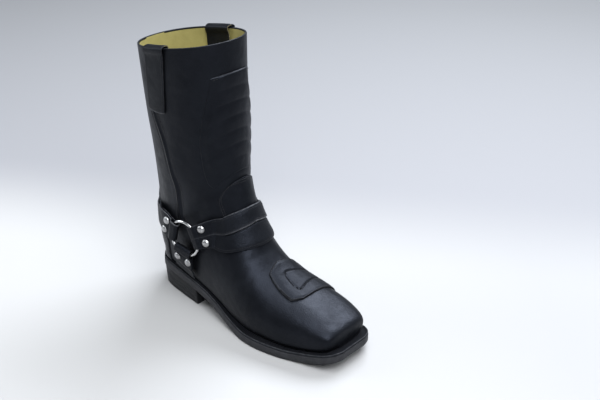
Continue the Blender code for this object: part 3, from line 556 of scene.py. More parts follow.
def rubber_material(name, colour, roughness, crumb=0.00035):
    n = Nodes(name)
    tone = n.clouds(160.0, 4.0, colour, scaled(colour, 1.7), 0.35, 0.75)
    cloud = n.mapped(n.noise(300.0), 0.3, 0.7, roughness - 0.06, roughness + 0.08)
    crumbs = n.bump(n.noise(620.0, 4.0, 0.65), crumb)
    return n.set(Base_Color=tone, Roughness=cloud, Normal=crumbs, Specular_IOR_Level=0.25)


def steel_material(name, roughness, dark):
    n = Nodes(name)
    smear = n.noise(240.0)
    tone = n.mix(n.mapped(smear, 0.3, 0.7), (dark, dark, dark), (dark * 1.27, dark * 1.27, dark * 1.28))
    cloud = n.mapped(smear, 0.3, 0.7, roughness - 0.05, roughness + 0.07)
    scratches = n.bump(n.noise(1400.0, 2.0), 0.00002)
    return n.set(Base_Color=tone, Roughness=cloud, Metallic=1.0, Normal=scratches)


SWEEP_WAY = (0.827, 0.562, 0.0)     # the floor turns grey this way, behind the boot
SHADED_WAY = (0.667, -0.745, 0.0)   # and painted shade makes it a little greyer this way, under the brightest light


def floor_material():
    """Pale sweep: near white in front of the boot, and grey behind it."""
    n = Nodes("pale_floor")
    away = n.along(SWEEP_WAY)
    back = n.mix(n.mapped(away, 0.3, 1.3), (0.226, 0.228, 0.239), (0.192, 0.195, 0.199))
    shade = n.mapped(n.along(SHADED_WAY), -0.35, 0.45)
    near = n.mix(shade, (0.366, 0.364, 0.360), (0.292, 0.292, 0.293))
    tone = n.mix(n.mapped(away, 0.05, 0.32, kind="SMOOTHSTEP"), near, back)
    return n.set(Base_Color=tone, Roughness=0.62, Specular_IOR_Level=0.2)


LEATHER = leather_material("black_leather", (0.0030, 0.0033, 0.0041), 0.40)
# The straps' pale colour stands for wearing and for the painted highlights on their edges.
STRAP_LEATHER = leather_material("strap_leather", (0.0032, 0.0035, 0.0042), 0.46, 0.00016,
                                 worn_and_highlit=(0.50, 0.51, 0.54))
PAD_LEATHER = leather_material("black_pad_leather", (0.0030, 0.0033, 0.0041), 0.43, gloss=0.125)
EDGE_DYE = leather_material("edge_dye", (0.0030, 0.0030, 0.0034), 0.85, gloss=0.06)
WELT_LEATHER = leather_material("welt_leather", (0.0040, 0.0040, 0.0045), 0.75)
THREAD = rubber_material("black_thread", (0.008, 0.008, 0.0095), 0.55, crumb=0.00006)
LINING = lining_material()
RUBBER = rubber_material("black_rubber", (0.017, 0.0175, 0.020), 0.60)
HEEL_RUBBER = rubber_material("heel_rubber", (0.0062, 0.0065, 0.0078), 0.60)
STEEL = steel_material("polished_steel", 0.20, 0.56)
RIVET_STEEL = steel_material("rivet_steel", 0.36, 0.36)
CUT_EDGE = rubber_material("cut_leather_edge", (0.13, 0.110, 0.055), 0.8, crumb=0.00008)


# Mesh building
SHARP_ANGLE = 48.0      # degrees
EDGE_STEPS = np.array([0, 0.06, 0.2, 0.45, 1.0])    # where a rounded edge has its points


def add_piece(name, points, faces, materials, slot, nodes=(), face_slots=None, **layers):
    """One object from points in millimetres that rides with the boot and stands for its CAD nodes.
    Its layers hold a number for each point, for its materials to read."""
    mesh = bpy.data.meshes.new(name)
    points = np.asarray(points, float).reshape(-1, 3)
    mesh.from_pydata((points * MM).tolist(), [], [tuple(f) for f in faces])
    for material in materials:
        mesh.materials.append(material)
    if face_slots is not None:
        mesh.polygons.foreach_set("material_index", np.asarray(face_slots, np.int32))
    for key, values in layers.items():
        layer = mesh.attributes.new(key, "FLOAT", "POINT")
        layer.data.foreach_set("value", np.asarray(values, np.float32).ravel())
    work = bmesh.new()
    work.from_mesh(mesh)
    bmesh.ops.recalc_face_normals(work, faces=work.faces[:])
    work.to_mesh(mesh)
    work.free()
    mesh.shade_smooth()
    mesh.set_sharp_from_angle(angle=np.radians(SHARP_ANGLE))
    piece = bpy.data.objects.new(name, mesh)
    bpy.context.collection.objects.link(piece)
    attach(piece, "root")
    if nodes:
        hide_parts(*nodes)
    return piece


def add_leather(name, points, faces, materials, face_slots=None, **layers):
    """Piece of leather that stands for the CAD node of its name."""
    return add_piece(name + "_leather", points, faces, materials, "leather", [name], face_slots, **layers)


def quads(index):
    """Faces between the neighbours of a grid of point numbers."""
    grid = np.stack([index[:-1, :-1], index[:-1, 1:], index[1:, 1:], index[1:, :-1]], -1)
    return grid.reshape(-1, 4).tolist()


def round_faces(count, size, closed=False):
    """Faces between count loops of size points each. When closed, the last loop joins the first."""
    index = np.arange(count * size).reshape(count, size)
    if closed:
        index = np.concatenate([index, index[:1]])
    return quads(np.column_stack([index, index[:, 0]]))


def round_turn(count):
    """Angles spaced evenly round a full turn."""
    return np.arange(count) * 2 * np.pi / count


def face_middles(values):
    """Values on a grid's corners, at the middle of each face."""
    return ((values[:-1, :-1] + values[1:, 1:]) / 2).reshape(-1)


def closed_plate(lower, upper):
    """Points and faces of a closed plate between two grids."""
    rows, columns = lower.shape[:2]
    low = np.arange(rows * columns).reshape(rows, columns)
    high = low + rows * columns
    faces = quads(low) + quads(high)
    for edge in (0, -1):
        faces += quads(np.stack([low[edge], high[edge]]))
        faces += quads(np.stack([low[:, edge], high[:, edge]]))
    return np.concatenate([lower.reshape(-1, 3), upper.reshape(-1, 3)]), faces


def edge_round(to_edge, radius, least=0.0):
    """Share of the full height at a distance from a rounded edge, which has a least share itself."""
    x = np.clip(to_edge / radius, 0, 1)
    return least + (1 - least) * np.sqrt(1 - (1 - x) ** 2)


def close_ends(length, radius, step):
    """Shares from 0 to 1, close together near both ends of a length."""
    near = radius * EDGE_STEPS
    count = max(2, int((length - 2 * radius) / step) + 1)
    middle = np.linspace(radius, length - radius, count)[1:-1]
    return np.concatenate([near, middle, length - near[::-1]]) / length


def running_length(points):
    """Length along the first axis of a grid of points."""
    steps = np.linalg.norm(np.diff(points, axis=0), axis=-1)
    return np.concatenate([np.zeros((1,) + steps.shape[1:]), np.cumsum(steps, 0)])


def at_lengths(points, travel, at):
    """Points of a line at some lengths along it."""
    return np.stack([np.interp(at, travel, column) for column in points.T], -1)


def even_points(loop, count):
    """Points spaced evenly round a loop, from its first point."""
    loop = np.concatenate([loop, loop[:1]])
    travel = running_length(loop)
    return at_lengths(loop, travel, np.linspace(0, travel[-1], count + 1)[:-1])


def band_faces(path, half):
    """Lengths and heights on a band's outer and inner face, half a thickness to each side of its path."""
    along = unit(np.gradient(path, axis=0))
    return [(path[:, :1] - way * along[:, 1:] * half, path[:, 1:] + way * along[:, :1] * half)
            for way in (1, -1)]


def edge_distances(points):
    """Distances of a grid's points to its first row, last row, first column and last column."""
    down, across = running_length(points), running_length(points.swapaxes(0, 1)).T
    return [down, down[-1] - down, across, across[:, -1:] - across]


def inset_line(u, v, distances, edge, inset):
    """Places at a distance from one edge of a grid, kept as far from the two edges beside it."""
    if edge > 1:
        u, v = u.T, v.T
        own, beside = distances[edge].T, [distances[0].T, distances[1].T]
    else:
        own, beside = distances[edge], distances[2:]
    line = []
    for j in range(own.shape[1]):
        order = np.argsort(own[:, j])
        at = [np.interp(inset, own[order, j], grid[order, j]) for grid in (u, v, *beside)]
        if min(at[2:]) >= 0.98 * inset:
            line.append(at[:2])
    return np.array(line)


# Stitching
STITCH_PITCH, STITCH_LENGTH, STITCH_RADIUS = 3.0, 2.3, 0.36
STITCH_LOOK = 0.6       # a stitch points along the row between places this far before and after it
# Columns: share of the length, share of the radius, lift.
STITCH_RINGS = ((-0.5, 0.3, -0.3), (-0.38, 0.8, 0.0), (-0.15, 1.0, 0.1), (0.15, 1.0, 0.1), (0.38, 0.8, 0.0),
                (0.5, 0.3, -0.3))
STITCH_SIDES = 6
stitching = {}


def stitch_template():
    """Points of one stitch about its middle, and its faces."""
    turn = round_turn(STITCH_SIDES)
    rings = []
    for along, width, lift in STITCH_RINGS:
        ring = [np.full(STITCH_SIDES, along * STITCH_LENGTH), np.cos(turn) * width * STITCH_RADIUS,
                (np.sin(turn) * width + lift) * STITCH_RADIUS]
        rings.append(np.stack(ring, -1))
    numbers = list(range(len(rings) * STITCH_SIDES))
    faces = round_faces(len(rings), STITCH_SIDES) + [numbers[:STITCH_SIDES], numbers[-STITCH_SIDES:]]
    return np.concatenate(rings), faces


def stitch(group, points, normals):
    """Row of stitches along a line of points, kept for the group's one object."""
    travel = running_length(points)
    count = int(travel[-1] // STITCH_PITCH)
    if count < 1:
        return
    at = (np.arange(count) + 0.5) * travel[-1] / count
    up = unit(at_lengths(normals, travel, at))
    ahead, behind = (at_lengths(points, travel, at + look) for look in (STITCH_LOOK, -STITCH_LOOK))
    along = unit(ahead - behind)
    shape, _ = stitch_template()
    turned = shape @ np.stack([along, np.cross(up, along), up], 1)
    stitching.setdefault(group, []).append(at_lengths(points, travel, at)[:, None] + turned)


def stitch_on_upper(group, u, v, height):
    stitch(group, lifted(u, v, height), normal(u, v))


def add_stitching():
    _, template = stitch_template()
    for group, rows in stitching.items():
        points = np.concatenate(rows)
        size = points.shape[1]
        faces = [[corner + k * size for corner in face] for k in range(len(points)) for face in template]
        add_piece("stitching_" + group, points, faces, [THREAD], "leather")


# Upper
MESH_STEP = 2.35
HALF_GIRTH = 170.0      # about the longest way from the ridge line to the back
RIM_LEATHER = 0.6       # the leather edge turns this far in over the lining
RIM_PROFILE = ((0.72, 0.75), (0.0, 1.0), (-0.72, 0.75))     # collar's edge: share of half the wall, rise
RIM_WEAR = 0.15
# Painted sheen: places painted paler at the ankle and beside the vamp. Columns: y and z, spread, how much.
PAINTED_SHEEN = (((-23.0, 150.0), (13.0, 27.0), 0.18), ((-84.0, 50.0), (34.0, 18.0), 0.065))
FEATHER_ROLL = 2.0      # how far the upper's lower edge rolls in over the welt
FEATHER_REACH = 7.0
CREASE_CLEAR = (2.0, 12.0)      # creases start between these distances from the welt
# Soft creases in the leather. Each has the places of its line, a half width and a depth.
CREASES = (
    (((12.9, -0.36), (12.6, -0.2), (12.55, 0.0), (12.6, 0.2), (12.9, 0.36)), 4.0, 1.0),
    (((13.6, -0.42), (13.35, -0.3), (13.2, -0.12)), 4.0, 0.8),
    (((12.2, -0.5), (12.0, -0.4), (12.1, -0.3)), 5.0, 1.0),
    (((7.35, -0.42), (7.25, -0.2), (7.15, 0.0), (7.25, 0.22)), 5.0, 0.3),
    (((6.85, -0.5), (6.75, -0.28), (6.75, -0.1)), 4.5, 0.25),
    (((14.6, -0.42), (16.2, -0.40), (18.0, -0.38)), 11.0, 0.9),
    (((14.6, 0.42), (16.2, 0.40), (18.0, 0.38)), 11.0, 0.9),
    (((15.6, -0.62), (16.6, -0.66), (17.6, -0.68)), 9.0, 0.8),
)


def line_distance(points, line):
    """Distance of each point to a line of points, and the share of the line it is nearest to."""
    best, share = np.full(len(points), np.inf), np.zeros(len(points))
    for k in range(len(line) - 1):
        way = line[k + 1] - line[k]
        t = np.clip(((points - line[k]) @ way) / (way @ way), 0, 1)
        gap = np.linalg.norm(points - line[k] - t[:, None] * way, axis=1)
        closer = gap < best
        best[closer] = gap[closer]
        share[closer] = (k + t[closer]) / (len(line) - 1)
    return best, share


def crease_relief(points):
    """Depth of the creases: a soft trough with a low ridge at each side, fading at both ends."""
    flat = points.reshape(-1, 3)
    relief = np.zeros(len(flat))
    for places, width, depth in CREASES:
        line = surface(*through(places, steps=6).T)
        low, high = line.min(0) - 4 * width, line.max(0) + 4 * width
        near = np.all((flat > low) & (flat < high), axis=1)
        gap, share = line_distance(flat[near], line)
        fade = np.clip(np.sin(np.pi * share), 0, 1) ** 0.7
        trough = -np.exp(-(gap / width) ** 2) + 0.35 * np.exp(-((gap - 1.9 * width) / width) ** 2)
        relief[near] += depth * fade * trough
    return relief.reshape(points.shape[:-1])


def upper_rows():
    rows = [0.0]
    for k in range(COLLAR_ROW):
        ends = np.array([k, k + 1.0])
        length = max(np.linalg.norm(np.diff(surface(ends, v), axis=0)) for v in (0.0, -0.5, -0.99))
        steps = int(np.ceil(length / MESH_STEP)) + 1
        rows += (k + np.arange(1, steps + 1) / steps).tolist()
    return np.array(rows)


def make_upper():
    rows = upper_rows()
    columns = 2 * int(HALF_GIRTH / MESH_STEP) + 1
    closing = int(np.argmin(np.abs(rows - HEEL_ROW)))
    u, v = np.meshgrid(rows, np.linspace(-1, 1, columns), indexing="ij")
    base, out = surface(u, v), normal(u, v)
    down = running_length(base.swapaxes(0, 1)).T
    to_welt = np.where(u < HEEL_ROW, np.minimum(down, down[:, -1:] - down), np.inf)
    roll = FEATHER_ROLL * np.clip(1 - to_welt / FEATHER_REACH, 0, 1) ** 2
    relief = crease_relief(base) * smoothstep(*CREASE_CLEAR, to_welt)
    outer = base + out * (relief - roll)[..., None]
    inner = base - out * (WALL + roll)[..., None]
    edge = np.zeros(u.shape, bool)
    edge[0] = True
    edge[:closing, [0, -1]] = True
    outer[edge, 2] = base[edge, 2]
    inner[edge, 2] = base[edge, 2]
    upward = unit(slopes(np.full(columns, float(COLLAR_ROW)), v[-1])[0])
    middle = (outer[-1] + inner[-1]) / 2
    rim = [middle + (outer[-1] - middle) * share + upward * rise for share, rise in RIM_PROFILE]
    points, count = [], 0

    def numbered(grid, first_joined):
        """Point numbers of a grid whose last column joins the first from a given row on."""
        nonlocal count
        index = np.zeros(grid.shape[:2], int)
        for i in range(len(grid)):
            width = columns - 1 if i >= first_joined else columns
            index[i, :width] = count + np.arange(width)
            if width < columns:
                index[i, -1] = index[i, 0]
            points.append(grid[i, :width])
            count += width
        return index

    out_index, in_index = numbered(outer, closing), numbered(inner, closing)
    rim_index = numbered(np.stack(rim), 0)
    outside, lining = quads(out_index), quads(in_index)
    edges = quads(np.concatenate([out_index[-1:], rim_index, in_index[-1:]]))
    edges += quads(np.stack([out_index[0], in_index[0]]))
    for side in (0, -1):
        edges += quads(np.stack([out_index[:closing + 1, side], in_index[:closing + 1, side]]))
    faces = outside + lining + edges
    slots = np.zeros(len(faces), int)
    depth = running_length(inner[::-1])[::-1]
    slots[len(outside):len(outside) + len(lining)] = face_middles(depth) >= RIM_LEATHER
    points = np.concatenate(points)
    wear, rubbed = np.zeros(len(points)), np.zeros(len(points))
    # Painted sheen at the ankle and beside the vamp.
    for (y, z), (long, high), amount in PAINTED_SHEEN:
        rubbed += amount * np.exp(-((points[:, 1] - y) / long) ** 2 - ((points[:, 2] - z) / high) ** 2)
    wear[rim_index.reshape(-1)] = RIM_WEAR
    add_leather("upper", points, faces, [LEATHER, LINING], slots, wear=wear, rubbed=rubbed)


# Overlays
LOW, TOP, LATERAL, MEDIAL = range(4)    # edges of a plate: its first and last row, its first and last column
PLATE_SEAT = 0.12       # underside of a plate over the upper
PLATE_EDGE = 1.3        # radius of its edge
PLATE_RIM = 0.35        # share of its thickness at the edge itself
PLATE_THICK = 1.9       # shin pad and counter
TONGUE_THICK, TONGUE_EDGE = 1.0, 3.2
SEWN_DEPTH, SEWN_WIDTH = 0.3, 0.9       # trough under a row of stitches
STITCH_SINK = 0.1       # stitches lie this far under a plate's full height
DOUBLE_ROW = (2.2, 5.0)                 # two rows of stitches, from an edge
GROOVE_DYE = 0.55       # half width of a dyed groove
# Shin pad
SHIN_PAD_GIRTH, SHIN_PAD_STEP, SHIN_PAD_ROW = 90.0, 1.5, 2.6
RIB_ROUND = 0.4         # the smaller, the fuller the ribs
RIB_START = (2.0, 14.0)         # the ribs rise between these distances from the pad's sides
RUN_OUT = (15.0, 30.0)          # the pad runs out over these lengths at its sides and its foot
RUN_OUT_DROP = 1.3
# Vamp pad
VAMP_PAD_THICK, VAMP_PAD_EDGE, VAMP_PAD_DYE, VAMP_PAD_ROW = 2.2, 1.6, 1.7, 2.4
VAMP_PAD_SPAN = (62.0, 110.0)           # along the foot and round it
VAMP_PAD_STEP = 0.8
PAD_LINE = (22.5, 18.0)                 # its pressed line, from the front and back edges and from the side
PAD_CORNER = 4.0
PAD_LINE_DEPTH, PAD_LINE_WIDTH = 0.8, 1.1
PAD_SWELL, SWELL_START = 0.5, (3.0, 9.0)
# Counter and tongue
COUNTER_SPAN = (125.0, 100.0)           # round the heel and up it
COUNTER_STEP = 2.4
TONGUE_GIRTH = 75.0


def add_plate(name, u, v, thick, relief, worn_and_highlit, radius=PLATE_EDGE, worn_and_highlit_sides=(LOW, TOP, LATERAL, MEDIAL),
              dyed=0.0, groove=None, leather=LEATHER):
    """Sewn-on plate of leather with a rounded edge, as high as a thickness and a relief say.
    The outermost part of its face and a groove in it may be dyed dark."""
    distances = edge_distances(surface(u, v))
    to_edge = np.minimum.reduce(distances)
    high = PLATE_SEAT + thick * edge_round(to_edge, radius, PLATE_RIM) + relief(distances)
    # Sides that are painted paler: wearing, and on the shin pad's top edge a painted highlight.
    to_worn_and_highlit = np.minimum.reduce([distances[side] for side in worn_and_highlit_sides])
    wear = worn_and_highlit * np.clip(1 - to_worn_and_highlit / radius, 0, 1)
    points, faces = closed_plate(lifted(u, v, PLATE_SEAT), lifted(u, v, high))
    wear = np.concatenate([np.zeros(u.size), wear.reshape(-1)])
    dark = face_middles(to_edge) < dyed
    if groove is not None:
        dark |= np.abs(face_middles(groove(distances))) < GROOVE_DYE
    slots = np.ones(len(faces), int)
    slots[:len(dark)] = 0
    slots[len(dark):2 * len(dark)] = dark
    return distances, add_leather(name, points, faces, [leather, EDGE_DYE], slots, wear=wear)


def sewn_edge(distances, sides, insets):
    """Shallow troughs that stitching pulls into a plate along some of its edges."""
    pulled = 0.0
    for side in sides:
        for inset in insets:
            pulled = pulled - SEWN_DEPTH * np.exp(-((distances[side] - inset) / SEWN_WIDTH) ** 2)
    return pulled


def side_places(table, width, step=2.2):
    """Grid of places symmetric about the ridge line, as wide as a table of (section, side) says,
    and each row's share of the length."""
    fine = np.linspace(table[0][0], table[-1][0], 120)
    travel = running_length(surface(fine, 0.0))
    shares = close_ends(travel[-1], PLATE_EDGE, step)
    along = np.interp(shares * travel[-1], travel, fine)
    u, side = np.meshgrid(along, 2 * close_ends(width, PLATE_EDGE, step) - 1, indexing="ij")
    return u, side * smooth(table, along)[:, None], shares


def sew(group, u, v, distances, high, sides, insets):
    """Stitches on a plate along some of its edges."""
    for side in sides:
        for inset in insets:
            line = inset_line(u, v, distances, side, inset)
            stitch_on_upper(group, line[:, 0], line[:, 1], high)


def add_sewn_plate(name, u, v, thick, worn_and_highlit, radius=PLATE_EDGE):
    """Plate sewn down with two rows of stitches along its top and its sides."""
    sides = (TOP, LATERAL, MEDIAL)
    distances, _ = add_plate(name, u, v, thick, lambda d: sewn_edge(d, sides, DOUBLE_ROW), worn_and_highlit, radius)
    sew(name, u, v, distances, thick - STITCH_SINK, sides, DOUBLE_ROW)


def make_shin_pad():
    """Quilted pad with soft ribs. Its top edge is crisp, and its sides run out softly into the shaft."""
    u, v, shares = side_places(SHIN_PAD_SIDE, SHIN_PAD_GIRTH, SHIN_PAD_STEP)

    def ribs(distances):
        swell = np.abs(np.sin(np.pi * RIB_COUNT * shares))[:, None] ** RIB_ROUND
        aside = np.minimum(distances[LATERAL], distances[MEDIAL])
        shown = smoothstep(0.0, RUN_OUT[0], aside) * smoothstep(0.0, RUN_OUT[1], distances[LOW])
        return RIB_HEIGHT * swell * smoothstep(*RIB_START, aside) * shown - RUN_OUT_DROP * (1 - shown)

    # Its top edge is painted paler, for wearing and as a painted highlight where it catches the light.
    distances, pad = add_plate("shin_pad", u, v, PLATE_THICK, ribs, worn_and_highlit=0.17, worn_and_highlit_sides=(TOP,))
    sew("shin_pad", u, v, distances, PLATE_THICK, (TOP,), (SHIN_PAD_ROW,))


def make_tongue():
    u, v, _ = side_places(TONGUE_SIDE, TONGUE_GIRTH)
    add_sewn_plate("tongue", u, v, TONGUE_THICK, worn_and_highlit=0.0, radius=TONGUE_EDGE)


def make_vamp_pad():
    rows, columns = (close_ends(span, VAMP_PAD_EDGE, VAMP_PAD_STEP) for span in VAMP_PAD_SPAN)
    along = PAD_EDGE[0][0] + (PAD_EDGE[-1][0] - PAD_EDGE[0][0]) * rows
    lateral_edge = smooth(PAD_EDGE, along)[:, None]
    u, across = np.meshgrid(along, columns, indexing="ij")
    v = lateral_edge + (PAD_END - lateral_edge) * across
    sewn = (LOW, TOP, LATERAL), (VAMP_PAD_ROW,)

    def inner_line(distances):
        """Distance to the pressed line inside the pad, which has round corners."""
        ends = np.minimum(distances[LOW], distances[TOP]) - PAD_LINE[0]
        side = distances[LATERAL] - PAD_LINE[1]
        return -PAD_CORNER * np.log(np.exp(-ends / PAD_CORNER) + np.exp(-side / PAD_CORNER))

    def relief(distances):
        pressed = -PAD_LINE_DEPTH * np.exp(-(inner_line(distances) / PAD_LINE_WIDTH) ** 2)
        swell = PAD_SWELL * smoothstep(*SWELL_START, np.minimum.reduce(distances[:MEDIAL]))
        return pressed + swell + sewn_edge(distances, *sewn)

    distances, pad = add_plate("vamp_pad", u, v, VAMP_PAD_THICK, relief, worn_and_highlit=0.2, radius=VAMP_PAD_EDGE,
                               dyed=VAMP_PAD_DYE, groove=inner_line, leather=PAD_LEATHER)
    sew("vamp_pad", u, v, distances, VAMP_PAD_THICK - 2 * STITCH_SINK, *sewn)


def make_counter():
    around, upward = (close_ends(span, PLATE_EDGE, COUNTER_STEP) for span in COUNTER_SPAN)
    angle = np.radians(COUNTER_REACH) * (2 * around - 1)
    x, y = COUNTER_RADIUS * np.sin(angle), COUNTER_CENTRE + COUNTER_RADIUS * np.cos(angle)
    low, high = COUNTER_HEIGHT
    top = low + (high - low) * np.clip(np.cos(angle), 0, 1) ** 1.5
    bottom = welt_line(y) + COUNTER_CLEAR
    z = bottom + (top - bottom) * upward[:, None]
    points = np.stack([np.broadcast_to(x, z.shape), np.broadcast_to(y, z.shape), z], -1)
    u, v = find_places(points)
    add_sewn_plate("counter", u, v, PLATE_THICK, worn_and_highlit=0.4)


def beside(u, v, shift):
    """Places moved sideways from a line on the upper by shifts in millimetres."""
    along = unit(np.gradient(surface(u, v), axis=0))
    across = np.cross(normal(u, v), along)
    points = surface(u, v)[:, None] + across[:, None] * np.asarray(shift)[:, None]
    return nearest(points, np.repeat(u[:, None], len(shift), 1), np.repeat(v[:, None], len(shift), 1))


# Side seams. Shares are counted in half widths from the middle.
SEAM_HALF = np.array([0.0, 0.06, 0.12, 0.2, 0.35, 0.55, 0.8, 1.1, 1.4, 1.7, 2.0])
SEAM_SEAT = 0.1         # underside of the seams over the upper
SEAM_SWELL = 0.95
SEAM_GROOVE, SEAM_GROOVE_WIDTH, SEAM_DYE = 0.45, 0.14, 0.16
SEAM_TOP = 0.16         # the seams run on by this share of a section, under the pull straps
SEAM_ROW = 7.0          # rows of stitches beside them
SEAM_ROW_HEIGHT = 0.15


def make_side_seam(side, sign):
    line_u = np.linspace(SEAM_SIDE[-1][0] + SEAM_TOP, SEAM_SIDE[0][0], 92)
    last = (SEAM_SIDE[-1][1] - SEAM_SIDE[-2][1]) / (SEAM_SIDE[-1][0] - SEAM_SIDE[-2][0])
    line_v = sign * (smooth(SEAM_SIDE, line_u) + last * np.maximum(line_u - SEAM_SIDE[-1][0], 0))
    share = np.concatenate([-SEAM_HALF[:0:-1], SEAM_HALF])
    u, v = beside(line_u, line_v, share * SEAM_WIDTH / 2)
    swell = SEAM_HEIGHT * np.exp(-(share / SEAM_SWELL) ** 2)
    groove = SEAM_GROOVE * np.exp(-(share / SEAM_GROOVE_WIDTH) ** 2)
    points, faces = closed_plate(lifted(u, v, SEAM_SEAT), lifted(u, v, PLATE_SEAT + swell - groove))
    dark = np.tile(np.abs(share[:-1] + share[1:]) / 2 < SEAM_DYE, len(u) - 1)
    slots = np.zeros(len(faces), int)
    slots[len(dark):2 * len(dark)] = dark
    add_leather("side_seam_" + side, points, faces, [LEATHER, EDGE_DYE], slots)
    for shift in (-SEAM_ROW, SEAM_ROW):
        row_u, row_v = beside(line_u, line_v, np.array([shift]))
        stitch_on_upper("side_seams", row_u[:, 0], row_v[:, 0], SEAM_ROW_HEIGHT)


# Harness
STRAP_EDGE = 1.0        # radius of a strap's edges
BAND_RIM = 0.3          # share of its thickness at the edge itself
EDGE_SAG = 1.1          # how far the edges of a strap bend down to the upper
SAG_REACH = 6.0         # from this far inside the edge
UPPER_EDGE = {"front_strap": 1, "heel_strap": -1}       # the side of a strap that lies higher
UPPER_EDGE_HIGHLIGHT = {"front_strap": 0.05, "heel_strap": 0.22}   # and how light that edge is painted near the rings, as a painted highlight
FAR_HIGHLIGHT = 0.09         # more of it away from the rings
OTHER_WEAR = 0.02       # the other edges
STRAP_STITCH = 3.0      # rows of stitches, from the edges
STRAP_STITCH_SINK = 0.2
RIDGE_STITCH = 0.11     # and one above the ridge, as a share of the half width
STEP_GROOVE = 0.9       # depth of the line under the front strap's upper band
# Mesh columns beside the front strap's ridge, as shares of the half width
STEP_COLUMNS = np.array([-0.11, -0.08, -0.06, -0.045, -0.03, -0.015, 0.0, 0.015, 0.035, 0.06, 0.09])
RUN_STEP = 2.2          # between the rows of a strap's single layer
RING_TURNS, RING_SIDES = 96, 18
RIVET_SIDES = 28
# Columns: share of the radius, share of the height.
RIVET_PROFILE = ((1.0, 0.0), (1.02, 0.10), (0.98, 0.22), (0.93, 0.36), (0.84, 0.56), (0.70, 0.75),
                 (0.52, 0.89), (0.30, 0.97))


def fine_fold():
    """The leather's middle line round a ring, from the tail's end to where the strap is single."""
    bend = (POCKET + STRAP_THICK) / 2
    low, rest = STRAP_THICK / 2, STRAP_THICK * 1.5 + GAP
    top = low + 2 * bend
    tail = np.linspace(TAIL_END, FOLD_AT + bend, 12, endpoint=False)
    turn = np.radians(np.linspace(270, 90, 17))
    arc = np.column_stack([FOLD_AT + bend + bend * np.cos(turn), low + bend + bend * np.sin(turn)])
    run = np.linspace(FOLD_AT + bend + 1, RUN_START + 2, 34)
    slope_end = RIVET_AT - RIVET_RADIUS - 0.8
    height = top - (top - rest) * smoothstep(POCKET_END - 3, slope_end, run)
    height = height - (rest - low) * smoothstep(TAIL_END, RUN_START, run)
    flat = np.column_stack([tail, np.full(len(tail), low)])
    return np.concatenate([flat, arc, np.column_stack([run, height])])


def strap_path(strap):
    """Lengths and heights of the leather's middle line, from a folded end to the other or to a free end."""
    fold, two = fine_fold(), len(strap.seats) == 2
    run_end = strap.length - RUN_START - 2 if two else strap.length
    run = np.arange(RUN_START + 4.0, run_end - 1, RUN_STEP)
    single = np.column_stack([run, np.full(len(run), STRAP_THICK / 2)])
    last = fold[::-1] * (-1, 1) + (strap.length, 0) if two else [(strap.length, STRAP_THICK / 2)]
    return np.concatenate([fold, single, last])


def strap_raise(strap, s, across, stepped):
    """Height of the front strap's upper band over its lower one."""
    if not stepped:
        return 0.0
    ridge = smooth(RIDGE_SIDE, strap.from_ring(s))
    band = STEP_THICK * smoothstep(ridge - 0.03, ridge + 0.02, across)
    groove = STEP_GROOVE * np.exp(-((across - ridge + 0.05) / 0.03) ** 2)
    return (band - groove) * smoothstep(RUN_START, RUN_START + 14, strap.from_ring(s))


def strap_sag(strap, s, to_edge):
    """How far a strap bends down towards its edges, away from the rings."""
    away = smoothstep(RUN_START, RUN_START + 20, strap.from_ring(s))
    return EDGE_SAG * away * (1 - smoothstep(0.0, SAG_REACH, to_edge))


def between(start, end, count):
    """Columns spaced evenly between two columns."""
    return start + (end - start) * np.linspace(0, 1, count + 2)[1:-1]


def strap_columns(half_width, ridge):
    """Shares across a strap for each of its rows, close together at the edges and at the ridge."""
    near = STRAP_EDGE * 1.5 * EDGE_STEPS / half_width
    low, high = near - 1, 1 - near[:, ::-1]
    if ridge is None:
        return np.hstack([low, between(low[:, -1:], high[:, :1], 15), high])
    step = ridge + STEP_COLUMNS
    below, above = between(low[:, -1:], step[:, :1], 10), between(step[:, -1:], high[:, :1], 8)
    return np.hstack([low, below, step, above, high])


def make_strap(name, strap, stepped=False):
    """Strap with folded ends, whose upper edge carries a painted highlight. It may have a step along it,
    with a painted highlight on its ridge.
    """
    path = strap_path(strap)
    from_ring = strap.from_ring(path[:, :1])
    half_width = smooth(strap.widths, from_ring)
    ridge = smooth(RIDGE_SIDE, from_ring) if stepped else None
    across = strap_columns(half_width, ridge)
    to_edge = (1 - np.abs(across)) * half_width
    half = STRAP_THICK / 2 * edge_round(to_edge, STRAP_EDGE, BAND_RIM)
    sag = strap_sag(strap, path[:, :1], to_edge)
    (top_s, top), (low_s, low) = band_faces(path, half)
    top = top - sag + strap_raise(strap, top_s, across, stepped)
    points, faces = closed_plate(strap.point(top_s, across, top), strap.point(low_s, across, low - sag))
    # Painted highlight on the upper edge, which faces the light, and a little wearing on the other edges.
    upper = across * UPPER_EDGE.get(name, 0) > 0
    far = smoothstep(RUN_START, RUN_START + 40, from_ring)
    wear = np.where(upper, UPPER_EDGE_HIGHLIGHT.get(name, 0) + FAR_HIGHLIGHT * far, OTHER_WEAR)
    wear = wear * np.clip(1.2 - to_edge / STRAP_EDGE, 0, 1)
    if stepped:
        # Painted highlight along the front strap's ridge.
        wear = wear + np.exp(-((across - ridge - 0.02) / 0.035) ** 2) * (0.05 + 0.16 * far)
    worn_and_highlit = np.concatenate([wear.reshape(-1), np.zeros(wear.size)])
    add_leather(name, points, faces, [STRAP_LEATHER], wear=worn_and_highlit)
    sew_strap(strap, stepped)


